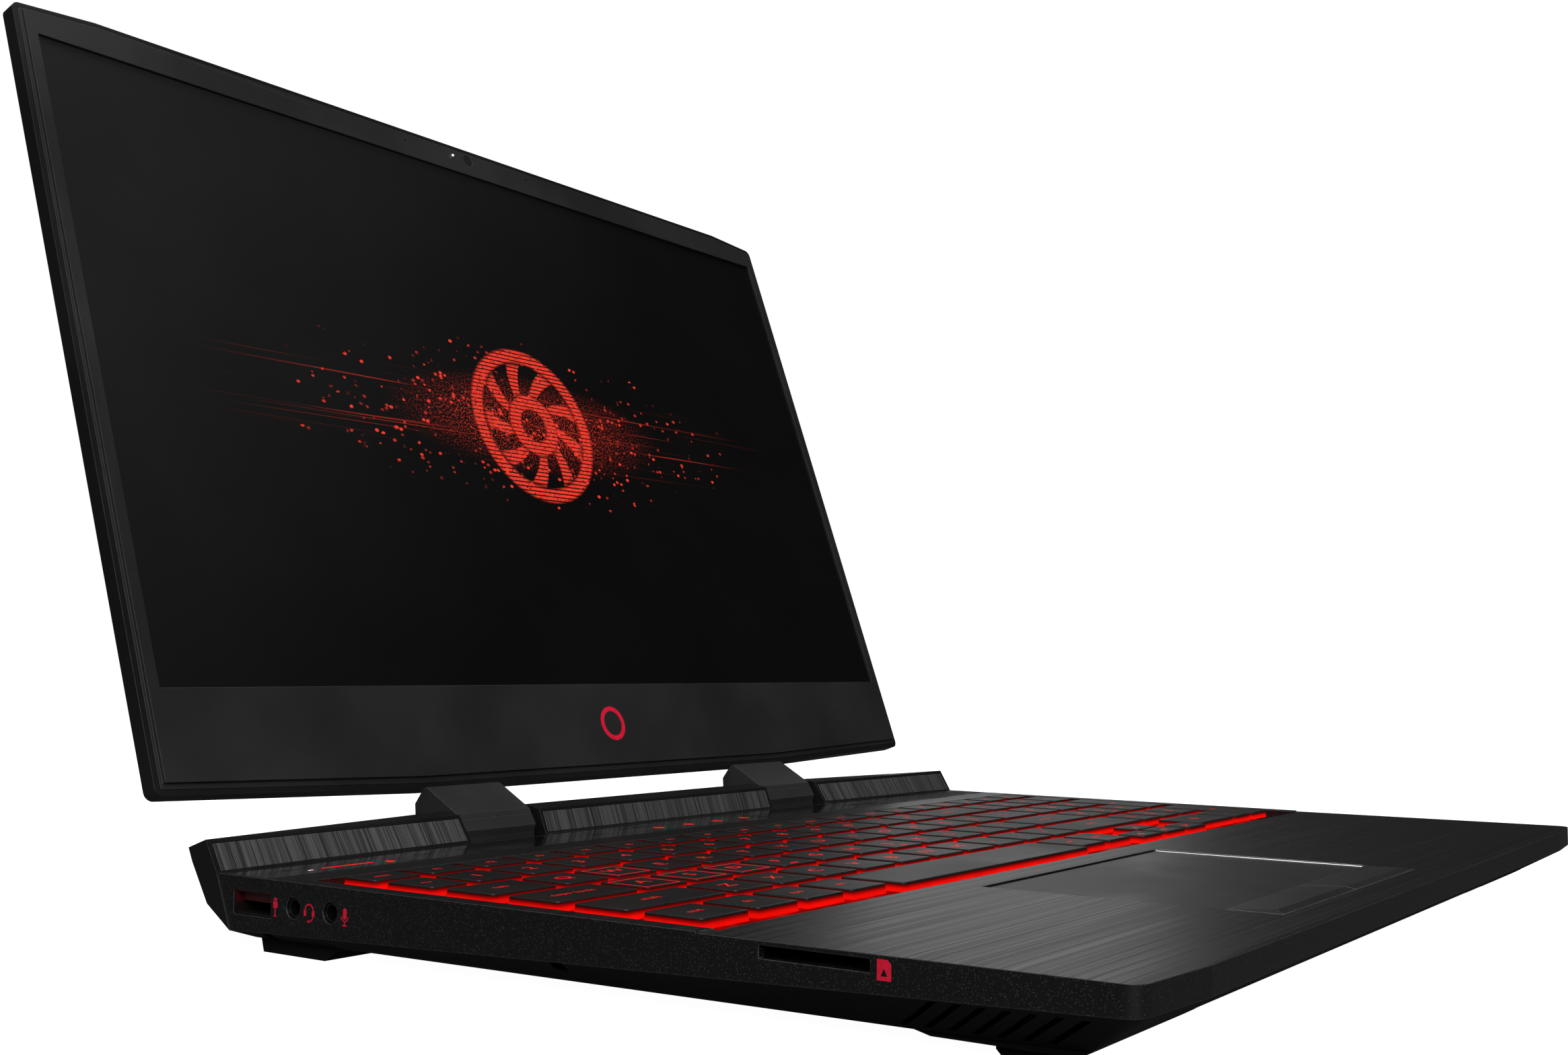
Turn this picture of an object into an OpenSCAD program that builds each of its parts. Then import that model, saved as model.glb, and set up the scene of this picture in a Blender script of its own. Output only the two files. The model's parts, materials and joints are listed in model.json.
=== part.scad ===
/* [Base] */
// Width of the base and of the lid
body_w = 360; // [350:1:380]
// Depth of the flat top, from the front corners to the hinge cover
deck_d = 241; // [240:0.5:242]
// Height from the table to the flat top
deck_h = 18; // [17.5:0.1:19]
// Thickness of the top and side walls
wall = 1.6; // [1.4:0.1:1.8]
// Height of the side wall at the front corner
side_front_h = 5.7; // [5.4:0.1:6]
// Drop of the lower side edge for each millimetre towards the back
side_slope = 0.032; // [0.03:0.001:0.034]

/* [Lid] */
// Angle between the lid and the base in the stored pose
open_angle = 110; // [95:1:120]
// Thickness of the lid at its edges
lid_t = 6.6; // [6.5:0.1:6.7]
// Height of the lid above the hinge axis, at its middle
lid_top = 255.5; // [254:0.5:257]
// Diameter of the steel hinge shafts
shaft_d = 6; // [5:0.2:6]

/* [Keyboard] */
// Pitch of the letter keys
key_pitch = 18.5; // [18.3:0.1:18.6]
// Gap between two keys
key_gap = 3.55; // [3.3:0.05:3.8]
// Depth of a letter key
key_d = 14.7; // [14:0.1:15]
// Height of the key tops above the flat top
key_top = 0.3; // [0.1:0.05:0.4]
// Height of a keycap
key_h = 2.3; // [2:0.1:2.3]

/* [Touchpad] */
// Width of the touchpad
pad_w = 103.5; // [100:0.5:106]
// Depth of the touchpad, without its buttons
pad_d = 59.2; // [56:0.1:60]
// Depth of the touchpad buttons
button_d = 13.3; // [12:0.1:14]

/* [Cooling] */
// Diameter of the blower wheels
fan_d = 54; // [48:1:56]
// Number of blades on each wheel
fan_blades = 23; // [13:1:31]

/* [Hidden] */
$fn = 48;
e = 0.01;
far = 400;

// Everything is drawn from the middle of the front edge, with the flat top at height 0.
half_w = body_w / 2;
nose = 2.04;
nose_in = 26.5;
corner_r = 4;

deck_t = 2;
cover_t = 1.5;
floor_z = -14.6;
floor_front_y = 14;
floor_rear_y = 226;
side_rear_y = 236.5;
side_rear_low_y = 231;
side_rear_low_z = -side_front_h - side_slope * side_rear_low_y;

// The hinge axis runs along X.
axis_y = 253.9;
axis_z = 0.4;
lid_tilt = 180 - open_angle;
crown = 1.4;
row_y = (axis_y + lid_top * cos(lid_tilt) + lid_t * sin(lid_tilt) - nose) / 2;

// The arms and the gaps that they turn in
arm_in = 60.4;
arm_out = 90.5;
arm_play = 1.2;
arm_r = 10.2;
gap_in = arm_in - arm_play;
gap_out = arm_out + arm_play;
shaft_r = shaft_d / 2;
knuckle_in = 44;
knuckle_out = 57.5;
knuckle_r = 5;
shaft_in = 42;
shaft_out = 88;
leaf_in = 64;
leaf_out = 86;
leaf_top = 38;
leaf_w0 = -5.45;
leaf_w1 = -4.5;
bearing_gap = 0.05;

// Keyboard rows, from the front edge of each row
left_x = 12.3 - half_w;
main_right = 282.5 - half_w;
row_front = 99.8;
row_step = 19.1;
first_step = 19.7;
cap_w = key_pitch - key_gap;
space_front = 96.9;
pad_cols = 4;
pad_left = main_right + key_gap;
pad_pitch = 16.55;
pad_cap = pad_pitch - key_gap;
function_d = 10.4;
function_front = 195.7;
half_key_d = 8.8;
skirt = 0.35;
well_left = 5;
well_front = 91;
well_rear = 208.6;
tray_floor = -3.8;
tray_t = 0.8;

// Touchpad
pad_mid = 147 - half_w;
button_front = 8;
pad_front = button_front + button_d;
pad_sunk = 0.45;
ridge_y = 10.8;
ridge_z = 0.55;
button_gap = 0.2;

// Control strip and power button
strip_front = 219.2;
strip_t = 0.8;
power_x0 = 20 - half_w;
power_w = 28;
power_y0 = 220.6;
power_d = 9.6;
light_pitch = 15;
light_y = 227;
light_r = 1.9;

// Side and rear sockets
usb_y = 223.7;
usb_z = -6.1;
usb_w = 13.4;
usb_h = 5.8;
usb_len = 17;
jack_y = [209.1, 196.5];
jack_z = -5.95;
jack_r = 1.75;
jack_hole_r = 2.45;
jack_len = 12;
jack_top = -3.85;
card_y0 = 52.3;
card_w = 24.7;
card_top = -1.1;
card_h = 2.5;
right_usb_y = [214, 190];
right_usb_z = -7.7;
rear_face_y = 261;
rear_mouth_y = 259;
power_inlet_x = 37;
power_inlet_r = 3.7;
net_x = 22;
net_w = 12;
net_h = 6.8;
hdmi_x = 4;
display_x = -12;
type_c_x = -26;
rear_socket_z = -5;

// Cooling
fan_x = 128;
fan_y = 164;
housing = 64;
housing_top = -5.2;
housing_h = 7.4;
hub_r = 12;
eye_r = 20;
sink_y0 = 229;
sink_d = 12;
fin_top = -7.9;
fin_pitch = 2.4;

// Screen
screen_w = 344.2;
screen_h = 193.6;
frame_play = 3.7;
opening_w = screen_w + frame_play;
opening_y0 = 46.4;
opening_h = screen_h + frame_play;
camera_y = 250;
emblem_y = 32.5;
emblem_r = 5.9;
lid_low = 15.1;
lid_low_side = 18.2;
foot_lean = 33.7;

module at_table() translate([0, -row_y, deck_h]) children();
module at_lid() at_table() translate([0, axis_y, axis_z]) rotate([lid_tilt, 0, 0]) children();
module both_sides() { children(); mirror([1, 0, 0]) children(); }
module along_x(x0, x1) translate([x0, 0, 0]) rotate([90, 0, 90]) linear_extrude(x1 - x0) children();
module rod(r, x0, x1) along_x(x0, x1) circle(r);
module box(x, y, z) translate([x[0], y[0], z[0]]) cube([x[1] - x[0], y[1] - y[0], z[1] - z[0]]);

// ---------------------------------------------------------------- casing outlines

module front_outline(rear_y = side_rear_y) offset(r = corner_r) offset(delta = -corner_r)
    polygon([[-half_w, 0], [nose_in - half_w, -nose], [half_w - nose_in, -nose], [half_w, 0],
        [half_w, rear_y + corner_r], [-half_w, rear_y + corner_r]]);

hump_line = [[-half_w - 1, side_rear_y], [-gap_out, 240.2], [-gap_out, deck_d],
    [gap_out, deck_d], [gap_out, 240.2], [half_w + 1, side_rear_y]];

module deck_outline() difference() {
    front_outline(deck_d + 10);
    polygon(concat(hump_line, [[half_w + 1, far], [-half_w - 1, far]]));
}

// Side view of the walls, cut off along the slanting lower edge
module side_profile() polygon([[-5, -deck_t / 2], [far, -deck_t / 2], [far, -side_front_h - side_slope * far],
    [-5, -side_front_h + 5 * side_slope]]);

module wall_ring() difference() {
    front_outline(deck_d + 10);
    offset(delta = -wall) front_outline(deck_d + 40);
}

module top_cover() at_table() color("#1b1b1d") difference() {
    union() {
        translate([0, 0, -deck_t]) linear_extrude(deck_t) deck_outline();
        intersection() {
            translate([0, 0, -deck_h]) linear_extrude(deck_h - deck_t / 2) wall_ring();
            along_x(-half_w - 1, half_w + 1) side_profile();
        }
    }
    both_sides() palm_facet();
    keyboard_well();
    touchpad_well();
    translate([0, 0, -strip_t]) linear_extrude(far) strip_outline();
    power_well();
    both_sides() box([gap_in, gap_out], [238.2, far], [-far, far]);
    both_sides() along_x(half_w - wall - 0.5, half_w + 1) side_end();
    left_sockets();
    right_sockets();
    box([-half_w + wall, -half_w + wall + 26.4], [card_y0 - 0.6, card_y0 + card_w + 0.6],
        [-3, card_top + 0.45]);
}

// Everything behind the slanting rear end of a side wall
side_lean = (side_rear_y - side_rear_low_y) / side_rear_low_z;
module side_end() polygon([[side_rear_y - 0.2, -0.6], [side_rear_y + 16 * side_lean, -16],
    [far, -16], [far, -0.6]]);

// The palm rest falls away gently towards each side, over a long triangle.
module palm_facet() translate([half_w, -1, 0]) rotate([0, 0, 9.2]) rotate([0, 1.2, 0])
    translate([-3, -20, 0]) cube([40, 112, 5]);

module keyboard_well() {
    box([well_left - half_w, half_w - well_left], [well_front, well_rear], [-far, far]);
    along_x(well_left - half_w, half_w - well_left)
        polygon([[well_front, 0.1], [well_front - 1.3, 0.1], [well_front, -1.2]]);
}

module touchpad_well() {
    box([pad_mid - pad_w / 2, pad_mid + pad_w / 2], [button_front, pad_front + pad_d], [-far, far]);
}

module strip_outline() difference() {
    offset(delta = -1) deck_outline();
    translate([-far, -far]) square([2 * far, far + strip_front]);
    both_sides() translate([gap_in - 1, 237]) square([gap_out - gap_in + 2, 20]);
}

module power_well() box([power_x0 - 1, power_x0 + power_w + 1], [power_y0 - 1, power_y0 + power_d + 1],
    [-far, far]);

module left_sockets() {
    box([-half_w - 5, -half_w + 5], [usb_y - usb_w / 2, usb_y + usb_w / 2],
        [usb_z - usb_h / 2, usb_z + usb_h / 2]);
    for (y = jack_y) translate([0, y, jack_z]) rod(jack_hole_r, -half_w - 5, -half_w + 5);
    box([-half_w - 5, -half_w + 5], [card_y0, card_y0 + card_w], [card_top - card_h, card_top]);
}

module right_sockets() for (y = right_usb_y) box([half_w - 5, half_w + 5],
    [y - usb_w / 2, y + usb_w / 2], [right_usb_z - usb_h / 2, right_usb_z + usb_h / 2]);

// ---------------------------------------------------------------- bottom cover

module floor_outline() polygon([[-half_w + 10.2, floor_front_y], [half_w - 10.2, floor_front_y],
    [half_w - 3.4, floor_rear_y], [-half_w + 3.4, floor_rear_y]]);

// Solid under the slanted lower edge of the side walls, inset all round.
module lower_body(inset, lift) hull() {
    multmatrix([[1, 0, 0, 0], [0, 1, 0, 0], [0, -side_slope, 1, -side_front_h - 0.1], [0, 0, 0, 1]])
        linear_extrude(0.1) intersection() {
            offset(delta = -inset) front_outline(side_rear_low_y);
            translate([-half_w, -10]) square([body_w, 10 + side_rear_low_y]);
        }
    translate([0, 0, floor_z + lift]) linear_extrude(0.1) offset(delta = -inset / 2) floor_outline();
}

module speaker_pod() hull() {
    box([123, 170.6], [15.5, 45], [-15.5, -15.4]);
    box([121.5, 169.8], [13.5, 51], [floor_z + 0.2, floor_z + 0.3]);
}

module bottom_cover() at_table() color("#0e0e10") difference() {
    union() {
        lower_body(0, 0);
        both_sides() speaker_pod();
    }
    difference() {
        lower_body(1.7, cover_t);
        for (p = boss_places) translate([p.x, p.y, -far]) cylinder(r = 3.2, h = far);
    }
    both_sides() intake_slots();
    both_sides() for (k = [0 : 6]) side_slot_cut(10.3 + 4.85 * k);
    both_sides() side_recess(218);
    both_sides() side_recess(128);
    for (p = boss_places) translate([p.x, p.y, 0]) {
        translate([0, 0, floor_z - 1]) cylinder(r = 2.6, h = 1.9);
        translate([0, 0, -far]) cylinder(r = 1.3, h = far - 8);
    }
}

boss_places = [[-150, 60], [150, 60], [22, 40], [-150, 122], [150, 122], [0, 104], [-80, 221], [80, 221]];

// Long holes under each blower, as long as its eye is wide there
slot_pitch = 4.2;
module intake_slots() for (k = [-4 : 4]) translate([fan_x + k * slot_pitch, fan_y, floor_z])
    cube([2, 2 * sqrt(pow(eye_r, 2) - pow(k * slot_pitch, 2)), 6], center = true);

// A slanted slot through the leaning side face, from y at the top to y + 11 at the bottom.
module side_slot_cut(y) translate([half_w - 0.7, y, -7.2])
    multmatrix([[1, 0, 0.93, 0], [0, 1, -1.6, 0], [0, 0, 1, 0], [0, 0, 0, 1]])
    translate([-6, -0.85, -6.6]) cube([9, 1.7, 6.6]);

// A recess with a screw hole in the leaning side face
module side_recess(y) translate([half_w - 1.2, y, -6 - side_slope * y]) rotate([0, 45, 0])
    translate([-1, 0, 0]) cylinder(r = 2.4, h = 4, center = true);

// ---------------------------------------------------------------- rear cover

// Section of the rear cover between the gaps
module mid_section() polygon([[deck_d, 0], [243.9, 7.4], [250.5, 8.2], [259.4, 5.6],
    [rear_face_y, 2], [260, -8], [252, floor_z], [231.5, floor_z], [side_rear_low_y, -13.1]]);
module wing_section() polygon([[240.2, 0], [244.7, 7.5], [251, 8.2], [259.4, 5.6],
    [rear_face_y, 2], [260, -8], [252, floor_z], [231.5, floor_z], [side_rear_low_y, -13.1]]);
module shoulder_section() polygon([[237.2, 0], [241.8, 7.6], [248.5, 6.6], [258.5, 3.5],
    [259.5, 0], [257, -8], [249, floor_z], [229.5, floor_z], [side_rear_low_y, -13.1]]);
module end_section() polygon([[side_rear_y, 0], [241.1, 7.7], [247.6, 5.4], [246, 2.1],
    [239.8, -7.5], [231.2, -12.7], [side_rear_low_y, -13.1]]);

module wing(inset) hull() {
    along_x(gap_out + inset, gap_out + inset + 0.1) offset(delta = -inset) wing_section();
    along_x(half_w - 13, half_w - 12.9) offset(delta = -inset) shoulder_section();
    along_x(half_w + 0.4 - inset, half_w + 0.5 - inset) offset(delta = -inset) end_section();
}

module well_section() polygon([[238.4, 20], [238.4, 0.3], [249.3, -9.3], [254, -10.9],
    [270, -10.9], [270, 20]]);

module gap_section() difference() { mid_section(); well_section(); }

// Open towards the front below the deck plate, where the base is hollow too.
module hollow(dy) {
    offset(delta = -cover_t) children();
    translate([-dy, 0]) intersection() {
        offset(delta = -cover_t) children();
        translate([0, -far - deck_t]) square([2 * far, far]);
    }
}

module rear_cover() at_table() color("#151517") difference() {
    union() {
        along_x(-gap_in, gap_in) mid_section();
        both_sides() wing(0);
        both_sides() along_x(gap_in - e, gap_out + e) gap_section();
    }
    along_x(-gap_in + cover_t, gap_in - cover_t) hollow(6) mid_section();
    both_sides() wing(cover_t);
    both_sides() along_x(gap_out + cover_t, 160) translate([-6, 0]) offset(delta = -cover_t)
        intersection() {
            wing_section();
            translate([220, -20]) square([30, 19]);
        }
    both_sides() along_x(gap_in - 3, gap_out + 3) hollow(6) gap_section();
    both_sides() translate([0, axis_y, axis_z]) rod(shaft_r + 0.5, gap_in - 3, gap_in + 1);
    rear_holes();
    both_sides() box([100, 158], [250, 270], [grille_z0, grille_z1]);
    panel_recess();
    intersection() {
        translate([0, 0, -deck_t]) linear_extrude(deck_t) deck_outline();
        box([wall - half_w, half_w - wall], [0, far], [-far, far]);
    }
}

grille_z0 = -8.6;
grille_z1 = -0.9;

module rear_holes() {
    translate([power_inlet_x, rear_face_y - 6, rear_socket_z]) rotate([-90, 0, 0])
        cylinder(r = power_inlet_r + 0.05, h = 10);
    for (s = socket_sizes) box([s[0] - s[1] / 2, s[0] + s[1] / 2], [rear_face_y - 9, rear_face_y + 5],
        [rear_socket_z - s[2] / 2, rear_socket_z + s[2] / 2]);
}

socket_sizes = [[net_x, net_w, net_h], [hdmi_x, 14.6, 5], [display_x, 8, 5], [type_c_x, 9, 3.2]];

module panel_recess() {
    both_sides() wing_panel(0, -1.5, 0.6);
    center_panel(0, 0.6);
}

// Inlaid plate on the front of a wing: m is the clearance, from y0 outside to y1 inside.
module wing_panel(m, y0, y1) hull() {
    for (p = [[gap_out + 1.2 + m, 240.2, 244.7, 7.5], [half_w - 1 - m, side_rear_y + 0.05, 241.1, 7.7]])
        for (q = [0.3 + m, p[3] - 1 - m]) translate([p[0], p[1] + (p[2] - p[1]) * q / p[3], q])
            rotate([-31, 0, 0]) translate([-0.05, y0, -0.05]) cube([0.1, y1 - y0, 0.1]);
}

module center_panel(m, t) translate([0, deck_d, 0]) rotate([-21.4, 0, 0])
    box([-gap_in + 1.2 + m, gap_in - 1.2 - m], [-1, t], [0.4 + m, 6.9 - m]);

module hump_panels() at_table() color("#3a3b3e") {
    both_sides() intersection() {
        wing_panel(0.12, -1.3, 0.5);
        wing_panel(0, -1.4, 0.55);
        wing(0);
    }
    center_panel_plate();
}

module center_panel_plate() translate([0, deck_d, 0]) rotate([-21.4, 0, 0])
    box([-gap_in + 1.3, gap_in - 1.3], [0.02, 0.55], [0.5, 6.8]);

// ---------------------------------------------------------------- deck parts

module control_strip() at_table() color("#0b0b0c") difference() {
    translate([0, 0, -strip_t]) linear_extrude(strip_t) offset(delta = -0.08) strip_outline();
    box([power_x0 - 0.2, power_x0 + power_w + 0.2], [power_y0 - 0.2, power_y0 + power_d + 0.2], [-5, 5]);
    lights(0.02, 5);
}

// Four touch symbols on the strip and the small light beside the power button
module lights(play, up) {
    for (k = [-1.5 : 1.5]) translate([k * light_pitch, light_y, -strip_t - up])
        cylinder(r = light_r + play, h = strip_t + 2 * up);
    box([power_x0 - 3 - play, power_x0 - 1.5 + play], [223.6 - play, 224.4 + play], [-strip_t - up, up]);
}

module status_lights() at_table() color("#ff2018") lights(0, 0);

module power_button() at_table() color("#0b0b0c") {
    box([power_x0, power_x0 + power_w], [power_y0, power_y0 + power_d], [-1.4, 0]);
}

module keyboard_tray() at_table() color("#7a0a08") difference() {
    box([well_left - 2.5 - half_w, half_w - well_left + 2.5], [well_front - 2.5, well_rear + 2.5],
        [tray_floor - tray_t, -deck_t]);
    box([well_left - half_w, half_w - well_left], [well_front, well_rear], [tray_floor, 5]);
    for (y = jack_y) box([-half_w, -half_w + jack_len + 0.1], [y - 3.3, y + 3.3], [-far, jack_top + 0.1]);
}

module touchpad() at_table() color("#2b2b2d") {
    box([pad_mid - pad_w / 2 + 0.3, pad_mid + pad_w / 2 - 0.3], [pad_front + 0.1, pad_front + pad_d - 0.5],
        [-3.2, -pad_sunk]);
    box([pad_mid - pad_w / 2 - 3, pad_mid + pad_w / 2 + 3], [pad_front + 0.1, pad_front + pad_d + 3],
        [-3.2, -deck_t]);
}

// Left and right halves, a low wedge that rises from the pad to a ridge and falls to the front.
module touchpad_button(side) at_table() color("#222224") intersection() {
    along_x(-far, far) polygon([[button_front + button_gap, -2.4], [button_front + button_gap, 0.1],
        [ridge_y, ridge_z], [pad_front - button_gap, -0.02], [pad_front - button_gap, -2.4]]);
    translate([pad_mid, 0, 0]) rotate([90, 0, 0]) translate([0, 0, -far]) linear_extrude(2 * far)
        polygon([[side * 0.1, -4], [side * 0.1, 5], [side * (pad_w / 2 - 3.2), 5],
            [side * (pad_w / 2 - 3.2), ridge_z], [side * (pad_w / 2 - 0.2), 0],
            [side * (pad_w / 2 - 0.2), -4]]);
}

module touchpad_button_left() touchpad_button(-1);
module touchpad_button_right() touchpad_button(1);

// ---------------------------------------------------------------- keys

// A keycap with leaning sides: a top of w by d at x, y, on a skirt that is a little wider.
module cap(x, y, w, d = key_d) translate([x, y, key_top - key_h]) intersection() {
    rotate([90, 0, 0]) translate([0, 0, -d - 2]) linear_extrude(d + 4) cap_profile(w);
    rotate([90, 0, 90]) translate([0, 0, -2]) linear_extrude(w + 4) cap_profile(d);
}
module cap_profile(w) polygon([[-skirt, 0], [w + skirt, 0], [w, key_h - 0.2], [w - 0.2, key_h],
    [0.2, key_h], [0, key_h - 0.2]]);

// Start of the keys after a first key of width w
function after(w) = left_x + w + key_gap;
function row_at(n) = n == 0 ? row_front : row_front + first_step + (n - 1) * row_step;
module keys(x, y, count, d = key_d) for (k = [0 : count - 1]) cap(x + k * key_pitch, y, cap_w, d);
module last(x, y) cap(x, y, main_right - x);

tilde_w = 11.5;
tab_w = 21;
caps_w = 27.1;
shift_w = 35.2;
ctrl_w = 16.4;

module key_colour() at_table() color("#141415") children();

module escape_key() key_colour() cap(left_x, function_front, cap_w, function_d);
module function_keys() key_colour() {
    keys(left_x + key_pitch, function_front, 12, function_d);
    for (k = [0, 1]) cap(left_x + 13 * key_pitch + k * (13.1 + key_gap), function_front, 13.1, function_d);
}
module number_keys() key_colour() {
    cap(left_x, row_at(4), tilde_w);
    keys(after(tilde_w), row_at(4), 12);
}
module backspace_key() key_colour() last(after(tilde_w) + 12 * key_pitch, row_at(4));
module upper_letter_keys() key_colour() {
    cap(left_x, row_at(3), tab_w);
    keys(after(tab_w), row_at(3), 1);
    keys(after(tab_w) + 2 * key_pitch, row_at(3), 10);
    last(after(tab_w) + 12 * key_pitch, row_at(3));
}
module key_w() key_colour() keys(after(tab_w) + key_pitch, row_at(3), 1);
module middle_letter_keys() key_colour() {
    cap(left_x, row_at(2), caps_w);
    keys(after(caps_w) + 3 * key_pitch, row_at(2), 8);
}
module key_a() key_colour() keys(after(caps_w), row_at(2), 1);
module key_s() key_colour() keys(after(caps_w) + key_pitch, row_at(2), 1);
module key_d_letter() key_colour() keys(after(caps_w) + 2 * key_pitch, row_at(2), 1);
module enter_key() key_colour() last(after(caps_w) + 11 * key_pitch, row_at(2));
module lower_letter_keys() key_colour() keys(after(shift_w), row_at(1), 10);
module left_shift_key() key_colour() cap(left_x, row_at(1), shift_w);
module right_shift_key() key_colour() last(after(shift_w) + 10 * key_pitch, row_at(1));

space_x = after(ctrl_w) + 3 * key_pitch;
space_w = 102.8;
right_mods = space_x + space_w + key_gap;
arrow_x = right_mods + 2 * key_pitch;
module modifier_keys() key_colour() {
    cap(left_x, row_at(0), ctrl_w, key_d + 0.6);
    keys(after(ctrl_w), row_at(0), 3, key_d + 0.6);
    keys(right_mods, row_at(0), 2, key_d + 0.6);
}
module space_bar() key_colour() cap(space_x, space_front, space_w, row_front + key_d + 0.6 - space_front);
module arrow_left_key() key_colour() cap(arrow_x, space_front, cap_w - 0.2, half_key_d);
module arrow_down_key() key_colour() cap(arrow_x + key_pitch, space_front, cap_w - 0.2, half_key_d);
module arrow_right_key() key_colour() cap(arrow_x + 2 * key_pitch, space_front, cap_w - 0.8, half_key_d);
module arrow_up_key() key_colour()
    cap(arrow_x + key_pitch, space_front + half_key_d + 0.9, cap_w - 0.2, half_key_d);

function col(k) = pad_left + k * pad_pitch;
module keypad_keys() key_colour() {
    for (k = [0 : pad_cols - 1]) cap(col(k), function_front, pad_cap, function_d);
    for (k = [0 : pad_cols - 1]) cap(col(k), row_at(4), pad_cap);
    for (n = [1 : 3], k = [0 : 2]) cap(col(k), row_at(n), pad_cap);
    cap(col(3), row_at(2), pad_cap, key_d + row_step);
    cap(col(0), row_at(0), pad_cap + pad_pitch, key_d + 0.6);
    cap(col(2), row_at(0), pad_cap, key_d + 0.6);
    cap(col(3), row_at(0), pad_cap, key_d + first_step);
}

// ---------------------------------------------------------------- feet and sockets

module front_feet() at_table() color("#101010") both_sides() difference() {
    box([124, 168], [19, 33], [-deck_h, -15.5]);
    translate([146, 33, -deck_h]) rotate([45, 0, 0]) cube([50, 2, 2], center = true);
    translate([146, 19, -deck_h]) rotate([45, 0, 0]) cube([50, 2, 2], center = true);
}

module rear_feet() at_table() color("#101010") both_sides() along_x(96, half_w - 4.5)
    polygon([[198, floor_z], [203, -deck_h], [224.5, -deck_h], [225.5, floor_z]]);

module socket_shell(w, h, len, t) difference() {
    translate([-w / 2 - t, 0, -h / 2 - t]) cube([w + 2 * t, len, h + 2 * t]);
    translate([-w / 2, -1, -h / 2]) cube([w, len, h]);
}

// A socket whose mouth faces -Y, with its tongue near the top
module usb_socket() {
    socket_shell(usb_w - 1, usb_h - 1, usb_len, 0.4);
    translate([-5.6, 1.5, 0.2]) cube([11.2, usb_len - 1.5, 1.8]);
}

module usb_sockets() at_table() color("#8c1a16") {
    translate([-half_w + 0.4, usb_y, usb_z]) rotate([0, 0, -90]) usb_socket();
    for (y = right_usb_y) translate([half_w - 0.4, y, right_usb_z]) rotate([0, 0, 90]) usb_socket();
}

module audio_jacks() at_table() color("#1c1c1c") for (y = jack_y) difference() {
    union() {
        translate([0, y, jack_z]) rod(jack_hole_r, -half_w + 0.5, -half_w + wall);
        box([-half_w + wall, -half_w + jack_len], [y - 3.2, y + 3.2], [jack_z - 3, jack_top]);
    }
    translate([0, y, jack_z]) rod(jack_r, -half_w - 1, -half_w + jack_len - 1);
}

module card_reader() at_table() color("#2a2a2c") translate([-half_w + wall, card_y0 + card_w / 2,
    card_top - card_h / 2]) rotate([0, 0, -90]) socket_shell(card_w, card_h, 26, 0.4);

module rear_sockets() at_table() {
    translate([power_inlet_x, rear_mouth_y - 12, rear_socket_z]) rotate([-90, 0, 0]) {
        color("#1c1c1c") difference() {
            cylinder(r = power_inlet_r, h = 12.8);
            translate([0, 0, 1]) cylinder(r = 2.3, h = 20);
        }
        color("#b0b0b0") cylinder(r = 0.4, h = 11);
    }
    color("#9a9a9c") for (s = socket_sizes) translate([s[0], rear_mouth_y, rear_socket_z])
        rotate([0, 0, 180]) socket_shell(s[1] - 0.7, s[2] - 0.7, 12, 0.3);
    color("#1c1c1c") for (s = [1 : 3]) translate([socket_sizes[s][0], 0, rear_socket_z])
        box([-socket_sizes[s][1] / 2 + 2, socket_sizes[s][1] / 2 - 2], [rear_mouth_y - 12, rear_mouth_y - 3],
            [-0.4, 0.4]);
}

module exhaust_grilles() at_table() color("#1a1a1c") both_sides() difference() {
    box([100.1, 157.9], [255.6, 257.4], [grille_z0 + 0.1, grille_z1 - 0.1]);
    for (k = [0 : 17]) translate([102.6 + 3.1 * k, 256, (grille_z0 + grille_z1) / 2])
        cube([1.8, 10, 5.4], center = true);
}

// ---------------------------------------------------------------- inside the base

board_z0 = -10.2;
board_z1 = -9;
chip_places = [[-38, 168], [34, 172]];

module motherboard() at_table() color("#16402c") {
    difference() {
        box([-94, 94], [100, 226], [board_z0, board_z1]);
        for (p = boss_places) translate([p.x, p.y, -20]) cylinder(r = 3.6, h = 20);
    }
    for (p = chip_places) box([p.x - 9, p.x + 9], [p.y - 9, p.y + 9], [board_z1, board_z1 + 1.1]);
    for (k = [0 : 5]) box([-30 + 12 * k, -22 + 12 * k], [205, 213], [board_z0 - 2, board_z0]);
}

module heat_sinks() at_table() color("#b87a4a") both_sides() {
    for (k = [0 : 22]) box([fan_x - 27.4 + fin_pitch * k, fan_x - 27 + fin_pitch * k],
        [sink_y0, sink_y0 + sink_d], [-12.4, fin_top]);
    box([fan_x - 27.4, fan_x - 27 + fin_pitch * 22], [sink_y0, sink_y0 + sink_d], [-12.8, -12.4]);
}

// Flattened pipes from the two large chips to the heat sinks, narrower between their bends
module pipe_path(pts, w) {
    for (p = pts) translate([p.x, p.y, fin_top]) cylinder(r = w / 2, h = 1.5);
    for (k = [0 : len(pts) - 2]) translate([pts[k].x, pts[k].y, fin_top])
        rotate([0, 0, atan2(pts[k + 1].y - pts[k].y, pts[k + 1].x - pts[k].x)])
        translate([0, 0.3 - w / 2, 0]) cube([norm(pts[k + 1] - pts[k]), w - 0.6, 1.5]);
}

module heat_pipes() at_table() color("#b87333") {
    pipe_path([chip_places[0], [-82, 208], [-88, 236], [-150, 236]], 8);
    pipe_path([chip_places[1], [82, 208], [88, 236], [150, 236]], 8);
}

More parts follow.
